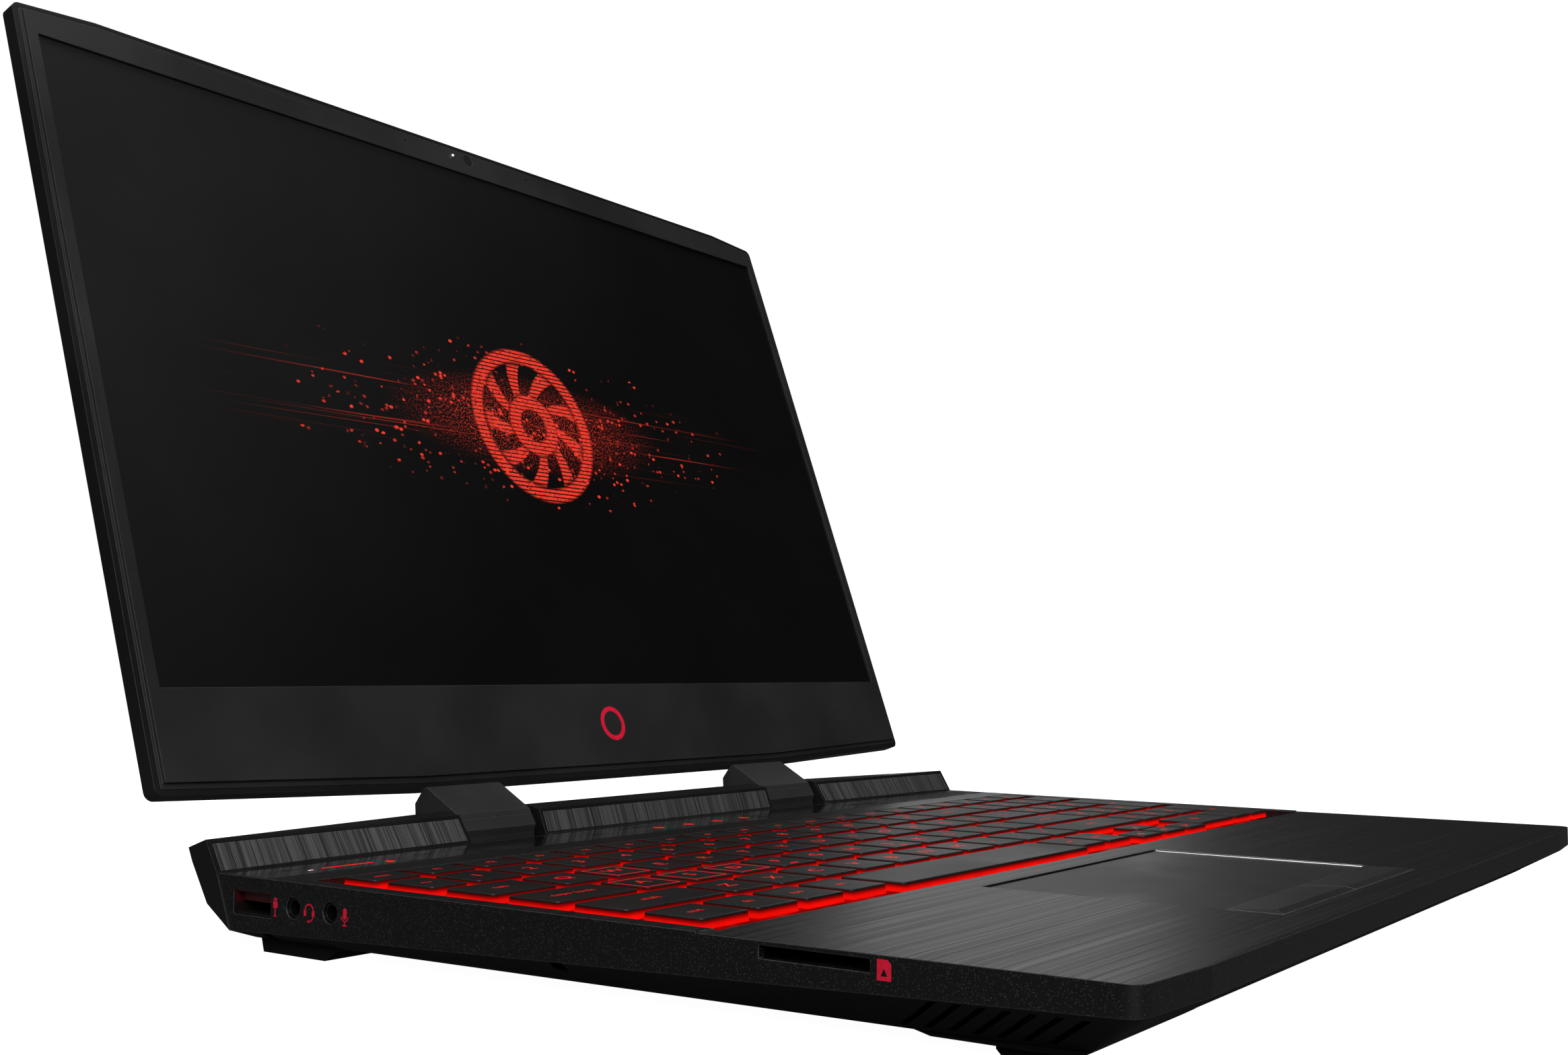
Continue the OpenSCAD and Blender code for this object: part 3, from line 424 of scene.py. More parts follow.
def tray_skin(finish):
    """The dark floor under the keys, with a painted red glow around each of the backlight's LEDs, as their light
    would fall on it.
    """
    mat, g, shader, place = surface("LitTray")
    grain = use(g, moulding(), {"Vector": place, "Scale": 3000.0})
    lamps = g.cells(g.stretch(place, (1.0, 1.0, 0.0)), 54.0)["Distance"]
    near = g.ramp(lamps, 0.75, 0.15)
    first_row = low("space_bar")[1]
    under_keys = g.ramp(g.split(place)[1], first_row - 0.3 * MM, first_row + 2.0 * MM)
    inside = g.math("MULTIPLY", g.ramp(normal_part(g, 2), 0.5, 0.8), under_keys)
    # Painted light: the tray glows red near each LED, though it gives no light of its own.
    spill = g.math("MULTIPLY", inside, g.fit(near, 0.25, 0.06))
    rough = g.fit(grain["Sheen"], 0.12, 0.48)
    base = g.blend(grain["Grain"], colour((0.012, 0.010, 0.010)), colour((0.022, 0.018, 0.018)))
    set_shader(g, shader, Base_Color=base, Roughness=rough, Specular_IOR_Level=0.12,
               Emission_Color=g.blend(spill, (0.0, 0.0, 0.0, 1.0), colour(finish.glow)),
               Emission_Strength=finish.glow_power)
    bump(g, shader, grain["Grain"], 0.2)
    return mat


def cap_skin(finish):
    """Matt keycap tops with a soft touch and slightly shiny rims; the rims are painted light grey, partly worn and
    partly a painted highlight on the bevel.
    """
    mat, g, shader, place = surface("KeycapTop")
    grain = use(g, moulding(), {"Vector": place, "Scale": 5200.0})
    rim_wear_and_highlight = use(g, edge_wear_and_highlight(), {"Vector": place, "Scale": 700.0})
    haze = use(g, dust(), {"Vector": place, "Scale": 1500.0})["Mask"]
    base = g.blend(grain["Sheen"], colour(finish.cap), colour(finish.cap, 1.35))
    # Painted highlight: a light grey line along the rims, partly worn.
    base = g.tint(base, rim_wear_and_highlight["Mask"], 0.7, colour((0.10, 0.095, 0.095)))
    base = g.tint(base, haze, 0.02, (0.4, 0.38, 0.36, 1.0))
    rough = g.fit(grain["Sheen"], 0.10, 0.40)
    set_shader(g, shader, Base_Color=base, Roughness=rough, Specular_IOR_Level=0.45)
    bump(g, shader, grain["Grain"], 0.22, rim_wear_and_highlight["Normal"])
    return mat


def skirt_skin(finish, top_z):
    """Clear red skirts: dark under the cap, bright where the light comes in below."""
    mat, g, shader, place = surface("ClearRedSkirt")
    height = g.split(place)[2]
    depth = g.ramp(height, top_z - 0.45 * MM, top_z - 1.8 * MM)
    grain = g.noise(g.stretch(place, (1.0, 1.0, 2.5)), 1500.0, 3.0, 0.7)
    cloud = g.noise(place, 90.0, 2.0)
    patches = g.fit(cloud, 0.5, 0.35)
    spread = g.math("ADD", g.math("MULTIPLY", grain, 0.5), patches)
    # Painted light: the skirt's glow and its base colour go from dark red under the cap to bright red lower down,
    # where the backlight comes in.
    lit = g.math("MULTIPLY", depth, spread)
    glow = g.blend(lit, colour(finish.glow, 0.08), colour(finish.glow, 1.0))
    set_shader(g, shader, Base_Color=g.blend(lit, (0.05, 0.0005, 0.0005, 1.0), (0.30, 0.002, 0.001, 1.0)),
               Roughness=g.fit(grain, 0.2, 0.3), Emission_Color=glow,
               Emission_Strength=finish.glow_power)
    bump(g, shader, grain, 0.4)
    return mat


def pad_skin():
    """Touchpad: very fine grain and a long, soft sheen."""
    mat, g, shader, place = surface("PadSurface")
    grain = use(g, moulding(), {"Vector": place, "Scale": 6500.0})
    worn = g.ramp(g.noise(g.stretch(place, (1.0, 1.4, 1.0)), 24.0, 3.0), 0.4, 0.75)
    rim_wear_and_highlight = use(g, edge_wear_and_highlight(), {"Vector": place, "Scale": 120.0})
    base = g.blend(grain["Sheen"], colour((0.022, 0.022, 0.023)), colour((0.030, 0.030, 0.031)))
    # Painted highlight: the pad's edges are tinted light grey, a bright line along its chamfer; partly worn.
    base = g.tint(base, rim_wear_and_highlight["Mask"], 0.8, colour((0.35, 0.35, 0.36)))
    rough = g.fit(worn, -0.10, 0.46)
    set_shader(g, shader, Base_Color=base, Roughness=rough, Specular_IOR_Level=0.5, Metallic=0.25)
    bump(g, shader, grain["Grain"], 0.12, rim_wear_and_highlight["Normal"])
    return mat


def screen_skin():
    """The display: black, with a red ring that bursts into sparks and streaks."""
    mat, g, shader, place = surface("LitScreen")
    centre = middle("screen_panel")
    tilt = math.sin(LID_TILT)
    local = g.add("VectorMath", {0: place, 1: centre}, operation="SUBTRACT").outputs[0]
    across = g.split(local)[0]
    up = g.math("MULTIPLY", g.split(local)[2], 1.0 / tilt)
    flat = g.add("CombineXYZ", {0: across, 1: up, 2: 0.0}).outputs[0]
    radius = g.add("VectorMath", {0: flat}, operation="LENGTH").outputs["Value"]
    # ring and inner turbine
    ring_r = 27.0 * MM
    ring = g.ramp(g.math("ABSOLUTE", g.math("SUBTRACT", radius, ring_r)), 3.2 * MM, 1.6 * MM)
    core = g.ramp(g.math("ABSOLUTE", g.math("SUBTRACT", radius, 9.0 * MM)), 3.2 * MM, 2.0 * MM)
    angle = g.math("ARCTAN2", up, across)
    vane = g.math("SINE", g.math("ADD", g.math("MULTIPLY", angle, 9.0), g.math("MULTIPLY", radius, 210.0)))
    between = g.math("MULTIPLY", g.ramp(radius, 11.0 * MM, 13.5 * MM), g.ramp(radius, 25.0 * MM, 22.0 * MM))
    vanes = g.math("MULTIPLY", g.ramp(vane, 0.1, 0.5), between)
    motif = g.math("MAXIMUM", g.math("MAXIMUM", ring, core), vanes)
    lines = g.ramp(g.math("SINE", g.math("MULTIPLY", up, 2 * math.pi / (1.5 * MM))), -0.75, -0.35)
    crumbs = g.ramp(g.noise(flat, 900.0, 3.0, 0.7), 0.34, 0.46)
    motif = g.math("MULTIPLY", g.math("MULTIPLY", motif, lines), crumbs)
    # sparks that thin out sideways
    reach = g.add("VectorMath", {0: g.stretch(flat, (0.36, 1.25, 0.0))}, operation="LENGTH").outputs["Value"]
    bits = g.cells(g.stretch(flat, (0.72, 1.0, 0.0)), 640.0)
    chance = g.split(bits["Color"])[0]
    limit = g.fit(reach, 14.0, 0.38)
    chosen = g.ramp(g.math("SUBTRACT", chance, limit), 0.0, 0.04)
    dot = g.ramp(bits["Distance"], 0.45, 0.30)
    clump = g.ramp(g.noise(flat, 130.0, 3.0, 0.65), 0.44, 0.60)
    sparks = g.math("MULTIPLY", g.math("MULTIPLY", chosen, dot), clump)
    powder = g.ramp(g.noise(flat, 1500.0, 2.0), 0.52, 0.62)
    dusty = g.math("MULTIPLY", g.ramp(reach, 26.0 * MM, 8.0 * MM), powder)
    # streaks along X, all within a low band
    thread = g.noise(g.stretch(flat, (5.0, 900.0, 0.0)), 1.0, 2.0, 0.7)
    band = g.math("MULTIPLY", g.ramp(g.math("ABSOLUTE", up), 17.0 * MM, 4.0 * MM),
                  g.ramp(g.math("ABSOLUTE", across), 150.0 * MM, 30.0 * MM))
    streaks = g.math("MULTIPLY", g.ramp(thread, 0.60, 0.70), band)
    faint = g.math("MULTIPLY", g.math("MAXIMUM", streaks, dusty), 0.6)
    art = g.math("MAXIMUM", g.math("MAXIMUM", motif, sparks), faint)
    front = g.ramp(normal_part(g, 1), -0.7, -0.9)
    art = g.math("MULTIPLY", art, front)
    haze = g.ramp(g.math("ADD", g.math("MULTIPLY", across, -1.0), up), -0.05, 0.25)
    dark = g.blend(haze, (0.0006, 0.0006, 0.0006, 1.0), (0.010, 0.010, 0.010, 1.0))
    hot = g.blend(g.noise(flat, 700.0, 2.0), (1.0, 0.022, 0.012, 1.0), (1.0, 0.09, 0.05, 1.0))
    light = g.blend(art, dark, hot)
    grain = use(g, moulding(), {"Vector": place, "Scale": 9000.0})
    set_shader(g, shader, Base_Color=(0.002, 0.002, 0.002, 1.0), Specular_IOR_Level=0.25,
               Roughness=g.fit(grain["Sheen"], 0.08, 0.42),
               Emission_Color=light, Emission_Strength=0.85)
    return mat


def board_skin():
    """Circuit board: green mask over copper tracks."""
    mat, g, shader, place = surface("CircuitBoard")
    plan = g.stretch(place, (1.0, 1.0, 0.0))
    track = g.add("TexBrick", {"Vector": plan, "Scale": 260.0, "Mortar Size": 0.06})
    via = g.cells(plan, 420.0)["Distance"]
    lines = g.math("SUBTRACT", 1.0, track.outputs["Fac"])
    base = g.blend(lines, (0.018, 0.085, 0.045, 1.0), (0.006, 0.040, 0.022, 1.0))
    base = g.blend(g.ramp(via, 0.14, 0.10), base, (0.55, 0.38, 0.14, 1.0))
    grain = use(g, moulding(), {"Vector": place, "Scale": 1800.0})
    set_shader(g, shader, Base_Color=base, Roughness=g.fit(grain["Sheen"], 0.15, 0.25))
    bump(g, shader, track.outputs["Fac"], 0.3)
    return mat


def socket_skin():
    """Sockets with a pressed-steel mouth and a dark red tongue; the mouth below the tongue is painted near black,
    as shade in the hollow.
    """
    mat, g, shader, place = surface("RedSocket")
    grain = use(g, moulding(), {"Vector": place, "Scale": 2500.0})
    height = g.split(place)[2]
    tongue_z = middle("usb_sockets")[2] + 0.1 * MM
    # Painted shade: below the tongue the socket is near black, above it red.
    lit = g.ramp(height, tongue_z, tongue_z + 1.2 * MM)
    base = g.blend(lit, (0.010, 0.006, 0.006, 1.0), (0.060, 0.003, 0.004, 1.0))
    base = g.blend(grain["Sheen"], base, g.blend(lit, (0.012, 0.008, 0.008, 1.0), (0.09, 0.005, 0.006, 1.0)))
    set_shader(g, shader, Base_Color=base, Roughness=g.fit(grain["Grain"], 0.2, 0.3))
    bump(g, shader, grain["Grain"], 0.2)
    return mat


def all_finishes(finish):
    """One material for each node, by name."""
    shell = tuple(finish.shell)
    satin = moulded("SatinShell", shell, rough=(0.34, 0.46), grain=2600.0, strength=0.2)
    rubber = moulded("Rubber", (0.008, 0.008, 0.008), rough=(0.75, 0.9), grain=1500.0, strength=0.6, spec=0.2)
    board = board_skin()
    copper = metal("Copper", (0.72, 0.30, 0.16), (60.0, 60.0, 2400.0))
    steel = metal("Steel", (0.42, 0.42, 0.43))
    inner = moulded("InnerPlastic", (0.014, 0.014, 0.015), rough=(0.4, 0.6), grain=2200.0)
    wheel = moulded("WheelPlastic", (0.03, 0.03, 0.032), rough=(0.3, 0.45), grain=2200.0)
    gloss = gloss_skin()
    pad = pad_skin()
    # The emblem gets a painted red glow; it gives no light of its own.
    sign = glowing_surface("RedSignPaintedGlow", finish.mark, 0.55)
    return {
        "top_cover": deck_skin(finish),
        "bottom_cover": moulded("BottomShell", (0.004, 0.004, 0.0042), rough=(0.5, 0.66), grain=1700.0,
                                strength=0.5, spec=0.22),
        "rear_cover": satin,
        "exhaust_grilles": moulded("GrillePlastic", (0.012, 0.012, 0.012), rough=(0.35, 0.5)),
        "hump_panels": panel_skin(),
        "control_strip": gloss,
        "power_button": gloss,
        "keyboard_tray": tray_skin(finish),
        "touchpad": pad,
        "touchpad_button_left": pad,
        "touchpad_button_right": pad,
        "status_lights": glowing_surface("StatusLight", finish.glow, 0.35),
        "front_feet": rubber,
        "rear_feet": rubber,
        "usb_sockets": socket_skin(),
        "audio_jacks": moulded("JackPlastic", (0.004, 0.004, 0.004), rough=(0.3, 0.45)),
        "card_reader": metal("ReaderSteel", (0.05, 0.05, 0.052), rough=(0.4, 0.6)),
        "rear_sockets": metal("SocketSteel", (0.30, 0.30, 0.31), (40.0, 1800.0, 40.0)),
        "motherboard": board,
        "memory_modules": board,
        "wireless_card": board,
        "solid_state_drive": board,
        "heat_sinks": copper,
        "heat_pipes": copper,
        "fan_housings": inner,
        "fan_rotor_left": wheel,
        "fan_rotor_right": wheel,
        "speakers": inner,
        "battery": moulded("CellWrap", (0.010, 0.010, 0.011), rough=(0.28, 0.4), grain=900.0, strength=0.3),
        "hard_drive": metal("CastAluminium", (0.50, 0.51, 0.52), (300.0, 300.0, 300.0), rough=(0.35, 0.55)),
        "bottom_screws": metal("ScrewSteel", (0.08, 0.08, 0.082), rough=(0.35, 0.5)),
        "hinge_brackets": steel,
        "hinge_shafts": steel,
        "lid_back_cover": moulded("LidShell", (0.0085, 0.0085, 0.009), rough=(0.36, 0.48), grain=3200.0,
                                  strength=0.18, spec=0.5, lighter=1.25),
        "screen_bezel": moulded("BezelPlastic", (0.021, 0.021, 0.0215), rough=(0.42, 0.55), grain=3000.0),
        "screen_panel": screen_skin(),
        "camera_module": moulded("LensGlass", (0.015, 0.015, 0.018), rough=(0.12, 0.2), strength=0.05),
        "hinge_arms": moulded("ArmMetal", (0.032, 0.032, 0.033), rough=(0.36, 0.46), grain=2400.0),
        "emblem": sign,
    }


# ---------------------------------------------------------------- mesh helpers


def new_piece(name, mesh, body, materials=()):
    """Puts a mesh in the scene as a piece that rides on a body."""
    piece = bpy.data.objects.new(name, mesh)
    bpy.context.scene.collection.objects.link(piece)
    for mat in materials:
        mesh.materials.append(mat)
    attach(piece, body)
    return piece


def solid_boxes(node):
    """The lowest and highest corner of each separate solid in a node, in reading order."""
    mesh = NODES[node].data
    spot = {}
    alias = [spot.setdefault(tuple(round(c, 6) for c in v.co), v.index) for v in mesh.vertices]
    parent = list(range(len(mesh.vertices)))

    def root(i):
        while parent[i] != i:
            parent[i] = parent[parent[i]]
            i = parent[i]
        return i

    for face in mesh.polygons:
        first = root(alias[face.vertices[0]])
        for v in face.vertices[1:]:
            parent[root(alias[v])] = first
    groups = {}
    for v in mesh.vertices:
        groups.setdefault(root(alias[v.index]), []).append(v.co)
    boxes = []
    for points in groups.values():
        corner_a = Vector([min(p[k] for p in points) for k in range(3)])
        corner_b = Vector([max(p[k] for p in points) for k in range(3)])
        boxes.append((corner_a, corner_b))
    return sorted(boxes, key=lambda b: (-round(b[1].y, 3), b[0].x))


def round_rect(x0, x1, y0, y1, radius, steps=4):
    """Points of a rectangle with round corners, anticlockwise."""
    points = []
    for cx, cy, start in ((x1 - radius, y1 - radius, 0), (x0 + radius, y1 - radius, 90),
                          (x0 + radius, y0 + radius, 180), (x1 - radius, y0 + radius, 270)):
        for k in range(steps + 1):
            a = math.radians(start + 90 * k / steps)
            points.append((cx + radius * math.cos(a), cy + radius * math.sin(a)))
    return points


def ring_of(bm, points, z):
    return [bm.verts.new((x, y, z)) for x, y in points]


def bridge(bm, lower, upper, index=0):
    count = len(lower)
    for k in range(count):
        face = bm.faces.new((lower[k], lower[(k + 1) % count], upper[(k + 1) % count], upper[k]))
        face.material_index = index
        face.smooth = True


def finish_mesh(bm, name):
    bmesh.ops.recalc_face_normals(bm, faces=bm.faces)
    mesh = bpy.data.meshes.new(name)
    bm.to_mesh(mesh)
    bm.free()
    return mesh


# ---------------------------------------------------------------- keys

LEGENDS = {
    "escape_key": ["esc"],
    "function_keys": ["f%d" % k for k in range(1, 13)] + ["prt", "del"],
    "number_keys": ["~"] + list("1234567890-="),
    "backspace_key": ["back"],
    "upper_letter_keys": ["tab", "Q"] + list("ERTYUIOP[]") + ["\\"],
    "key_w": ["W"],
    "middle_letter_keys": ["caps lock"] + list("FGHJKL;'"),
    "key_a": ["A"],
    "key_s": ["S"],
    "key_d_letter": ["D"],
    "enter_key": ["enter"],
    "lower_letter_keys": list("ZXCVBNM,./"),
    "left_shift_key": ["shift"],
    "right_shift_key": ["shift"],
    "modifier_keys": ["ctrl", "fn", "sys", "alt", "alt", "ctrl"],
    "space_bar": [""],
    "arrow_left_key": ["<"],
    "arrow_down_key": ["v"],
    "arrow_right_key": [">"],
    "arrow_up_key": ["^"],
    "keypad_keys": ["home", "up", "dn", "end", "num", "/", "*", "-", "7", "8", "9", "+", "4", "5", "6",
                    "1", "2", "3", "ent", "0", "."],
}
OUTLINED = ("key_w", "key_a", "key_s", "key_d_letter")
BARRED = {"middle_letter_keys": ("F", "J"), "keypad_keys": ("5",)}


def add_cap(bm, box, keys):
    """One keycap: a rounded, slightly hollow top over a clear skirt that widens downwards."""
    (x0, y0, z0), (x1, y1, z1) = box
    lean = 0.35 * MM
    lip = 0.16 * MM
    split = z0 + keys.skirt
    widen = lean * (z1 - split) / (z1 - z0)

    def loop(inset, z, radius):
        return ring_of(bm, round_rect(x0 + inset, x1 - inset, y0 + inset, y1 - inset, radius), z)

    foot = loop(0.02 * MM, z0, keys.corner)
    waist = loop(lean - widen, split, keys.corner)
    edge = loop(lean - widen - 0.04 * MM, split, keys.corner)
    shoulder = loop(lean - 0.05 * MM, z1 - lip, keys.corner)
    crest = loop(lean + 0.08 * MM, z1, keys.corner - 0.1 * MM)
    hollow = loop(lean + 1.4 * MM, z1 - keys.dish, keys.corner)
    bridge(bm, foot, waist, 1)
    bridge(bm, waist, edge, 1)
    bridge(bm, edge, shoulder)
    bridge(bm, shoulder, crest)
    bridge(bm, crest, hollow)
    top = bm.faces.new(hollow)
    top.smooth = True
    base = bm.faces.new(list(reversed(foot)))
    base.material_index = 1


def text_mesh(text, size):
    """The outline of a short legend as mesh points and faces, centred on the origin."""
    curve = bpy.data.curves.new("legend", "FONT")
    curve.body = text
    curve.size = size / 0.7
    curve.align_x = "CENTER"
    curve.align_y = "CENTER"
    curve.resolution_u = 2
    carrier = bpy.data.objects.new("legend", curve)
    mesh = bpy.data.meshes.new_from_object(carrier)
    bpy.data.objects.remove(carrier)
    bpy.data.curves.remove(curve)
    return mesh


def add_flat(bm, points, z, thick, index):
    """A thin raised shape with an outline of points."""
    upper = [bm.verts.new((x, y, z)) for x, y in points]
    lower = [bm.verts.new((x, y, z - thick)) for x, y in points]
    bm.faces.new(upper).material_index = index
    for k in range(len(points)):
        face = bm.faces.new((lower[k], lower[(k + 1) % len(points)], upper[(k + 1) % len(points)], upper[k]))
        face.material_index = index


def add_rect(bm, x0, x1, y0, y1, z, thick, index):
    add_flat(bm, [(x0, y0), (x1, y0), (x1, y1), (x0, y1)], z, thick, index)


def add_arrow(bm, x, y, direction, size, z, index):
    """A small triangle that points left, right, up or down."""
    turn = {">": 0, "^": 90, "<": 180, "v": 270}[direction]
    points = []
    for k in range(3):
        a = math.radians(turn + 120 * k)
        points.append((x + size * math.cos(a), y + size * math.sin(a)))
    add_flat(bm, points, z, 0.1 * MM, index)


def add_word(bm, text, x, y, size, z, index, stretch=1.3):
    """Printed letters on a key, a little wide."""
    word = text_mesh(text, size)
    count = len(bm.verts)
    bm.from_mesh(word)
    bm.verts.ensure_lookup_table()
    for v in bm.verts[count:]:
        v.co = Vector((x + v.co.x * stretch, y + v.co.y, z))
    for face in bm.faces:
        if not face.tag:
            face.material_index = index
            face.tag = True
    bpy.data.meshes.remove(word)


def legend_mesh(node, keys):
    """All the lit signs on the keys of one node."""
    bm = bmesh.new()
    boxes = solid_boxes(node)
    names = LEGENDS[node]
    if len(boxes) != len(names):
        raise RuntimeError("%s has %d keys and %d legends" % (node, len(boxes), len(names)))
    for (corner, far), label in zip(boxes, names):
        z = far.z - keys.dish + keys.ink
        x = (corner.x + far.x) / 2
        y = (corner.y + far.y) / 2
        wide = far.x - corner.x
        if node.startswith("arrow"):
            add_arrow(bm, x, y, label, 1.5 * MM, z, 0)
        elif len(label) == 1:
            deep = far.y - corner.y
            add_word(bm, label, x, y + (0.6 * MM if deep > 12 * MM else 0.0), keys.letter, z, 0)
        elif label:
            add_word(bm, label, x, y + 0.6 * MM, keys.word, z, 0, 1.45 if wide > 14 * MM else 1.2)
        if label in BARRED.get(node, ()):
            half = 1.6 * MM
            y0 = corner.y + 2.4 * MM
            add_rect(bm, x - half, x + half, y0, y0 + 0.4 * MM, z + 0.1 * MM, 0.2 * MM, 1)
    if node in OUTLINED:
        corner, far = boxes[0]
        z = far.z - keys.dish + keys.ink
        inset = 1.5 * MM
        line = 0.35 * MM
        x0, x1, y0, y1 = corner.x + inset, far.x - inset, corner.y + inset, far.y - inset
        for sides in ((x0, x1, y0, y0 + line), (x0, x1, y1 - line, y1),
                      (x0, x0 + line, y0 + line, y1 - line), (x1 - line, x1, y0 + line, y1 - line)):
            add_rect(bm, *sides, z, 0.05 * MM, 0)
    return finish_mesh(bm, node + "_signs")


class OBJECT_OT_laptop_keys(bpy.types.Operator):
    """Build every keycap with its clear skirt and lit sign"""
    bl_idname = "object.laptop_keys"
    bl_label = "Keys"

    def execute(self, context):
        finish = context.scene.laptop_finish
        keys = context.scene.laptop_keys
        top_z = high("key_w")[2]
        cap = cap_skin(finish)
        skirt = skirt_skin(finish, top_z)
        sign = glowing_surface("KeySign", finish.glow, 0.60)
        for node in LEGENDS:
            bm = bmesh.new()
            for box in solid_boxes(node):
                add_cap(bm, box, keys)
            caps = finish_mesh(bm, node + "_caps")
            piece = new_piece("caps_" + node, caps, BODY_OF[node], (cap, skirt))
            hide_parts(node)
            signs = legend_mesh(node, keys)
            if signs.vertices:
                new_piece("signs_" + node, signs, BODY_OF[node], (sign, cap))
        return {"FINISHED"}


# ---------------------------------------------------------------- signs and small trim


class Plane:
    """A flat face to draw on: u to the right, v up, w out of it."""

    def __init__(self, origin, right, up):
        self.origin = Vector(origin)
        self.right = Vector(right)
        self.up = Vector(up)
        self.out = self.right.cross(self.up)

    def at(self, u, v, w=0.0):
        return self.origin + self.right * u + self.up * v + self.out * w


def lid_plane(depth):
    """The lid's face, with v measured from the hinge axis and depth below the frame's face."""
    up = Vector((0.0, math.cos(LID_TILT), math.sin(LID_TILT)))
    out = Vector((0.0, -math.sin(LID_TILT), math.cos(LID_TILT)))
    return Plane(AXIS + out * depth, (1.0, 0.0, 0.0), up)


def inlay(bm, plane, points, height=0.04 * MM, sunk=0.1 * MM, index=0):
    """A thin printed or inlaid shape with an outline of (u, v) points."""
    upper = [bm.verts.new(plane.at(u, v, height)) for u, v in points]
    lower = [bm.verts.new(plane.at(u, v, -sunk)) for u, v in points]
    top = bm.faces.new(upper)
    top.material_index = index
    count = len(points)
    for k in range(count):
        face = bm.faces.new((lower[k], lower[(k + 1) % count], upper[(k + 1) % count], upper[k]))
        face.material_index = index
    bmesh.ops.triangulate(bm, faces=[top])


def arc(cu, cv, radius, start, end, steps=12):
    points = []
    for k in range(steps + 1):
        a = math.radians(start + (end - start) * k / steps)
        points.append((cu + radius * math.cos(a), cv + radius * math.sin(a)))
    return points


def band(cu, cv, inner, outer, start, end, steps=12):
    """A piece of a ring."""
    return arc(cu, cv, outer, start, end, steps) + arc(cu, cv, inner, end, start, steps)


def bar(u0, u1, v0, v1):
    return [(u0, v0), (u1, v0), (u1, v1), (u0, v1)]


def in_mm(points):
    return [(u * MM, v * MM) for u, v in points]


# Outlines of the signs beside the sockets, in millimetres about each sign's middle
def plug_sign():
    """A plug: body, tip and lead."""
    body = bar(-0.75, 0.75, -0.2, 1.3)
    tip = bar(-0.5, 0.5, 1.5, 2.1)
    lead = [bar(-0.14, 0.14, -2.0, -0.3), bar(-0.55, 0.55, -2.2, -2.0)]
    return [body, tip] + lead


def headset_sign():
    """A headset: bow, two ear cups and the arm of its microphone."""
    bow = band(0.0, 0.2, 1.25, 1.55, 0, 180)
    cups = [bar(-1.8, -1.0, -1.1, 0.2), bar(1.0, 1.8, -1.1, 0.2)]
    arm = [band(0.0, -1.0, 1.2, 1.45, 270, 350, 6), bar(-0.5, 0.1, -2.5, -2.0)]
    return [bow] + cups + arm


def microphone_sign():
    """A microphone in its cradle on a foot."""
    pill = arc(0.0, 1.2, 0.6, 0, 180) + arc(0.0, -0.1, 0.6, 180, 360)
    cradle = band(0.0, -0.1, 0.95, 1.2, 180, 360)
    return [pill, cradle, bar(-0.13, 0.13, -2.0, -1.2), bar(-0.8, 0.8, -2.25, -2.0)]


def card_sign():
    """A memory card with one corner cut off."""
    return [[(-1.5, -1.9), (1.5, -1.9), (1.5, 1.1), (0.7, 1.9), (-1.5, 1.9)]]


class OBJECT_OT_laptop_signs(bpy.types.Operator):
    """Print the signs beside the sockets on the left wall"""
    bl_idname = "object.laptop_signs"
    bl_label = "Signs"

    def execute(self, context):
        finish = context.scene.laptop_finish
        # The printed ink gets a painted glow; it gives no light of its own.
        ink = glowing_surface("SideInkPaintedGlow", finish.mark, 0.30, 0.15)
        dark = moulded("SignDark", (0.004, 0.004, 0.004))
        corner_y = low("top_cover")[1] + FRONT_BOW
        wall = Plane((-HALF_W, corner_y, middle("audio_jacks")[2]), (0.0, -1.0, 0.0), (0.0, 0.0, 1.0))
        signs = (("plug_sign", plug_sign, 215.4, 0.0), ("headset_sign", headset_sign, 203.6, 0.0),
                 ("microphone_sign", microphone_sign, 191.6, 0.0), ("card_sign", card_sign, 49.3, 3.4))
        for name, draw, y, rise in signs:
            bm = bmesh.new()
            spot = Plane(wall.at(-y * MM, rise * MM), wall.right, wall.up)
            for shape in draw():
                inlay(bm, spot, in_mm(shape))
            if name == "card_sign":
                triangle = in_mm([(-0.7, -1.1), (0.7, -1.1), (0.0, 0.3)])
                inlay(bm, spot, triangle, 0.07 * MM, 0.0, 1)
            new_piece(name, finish_mesh(bm, name), "base", (ink, dark))
        return {"FINISHED"}


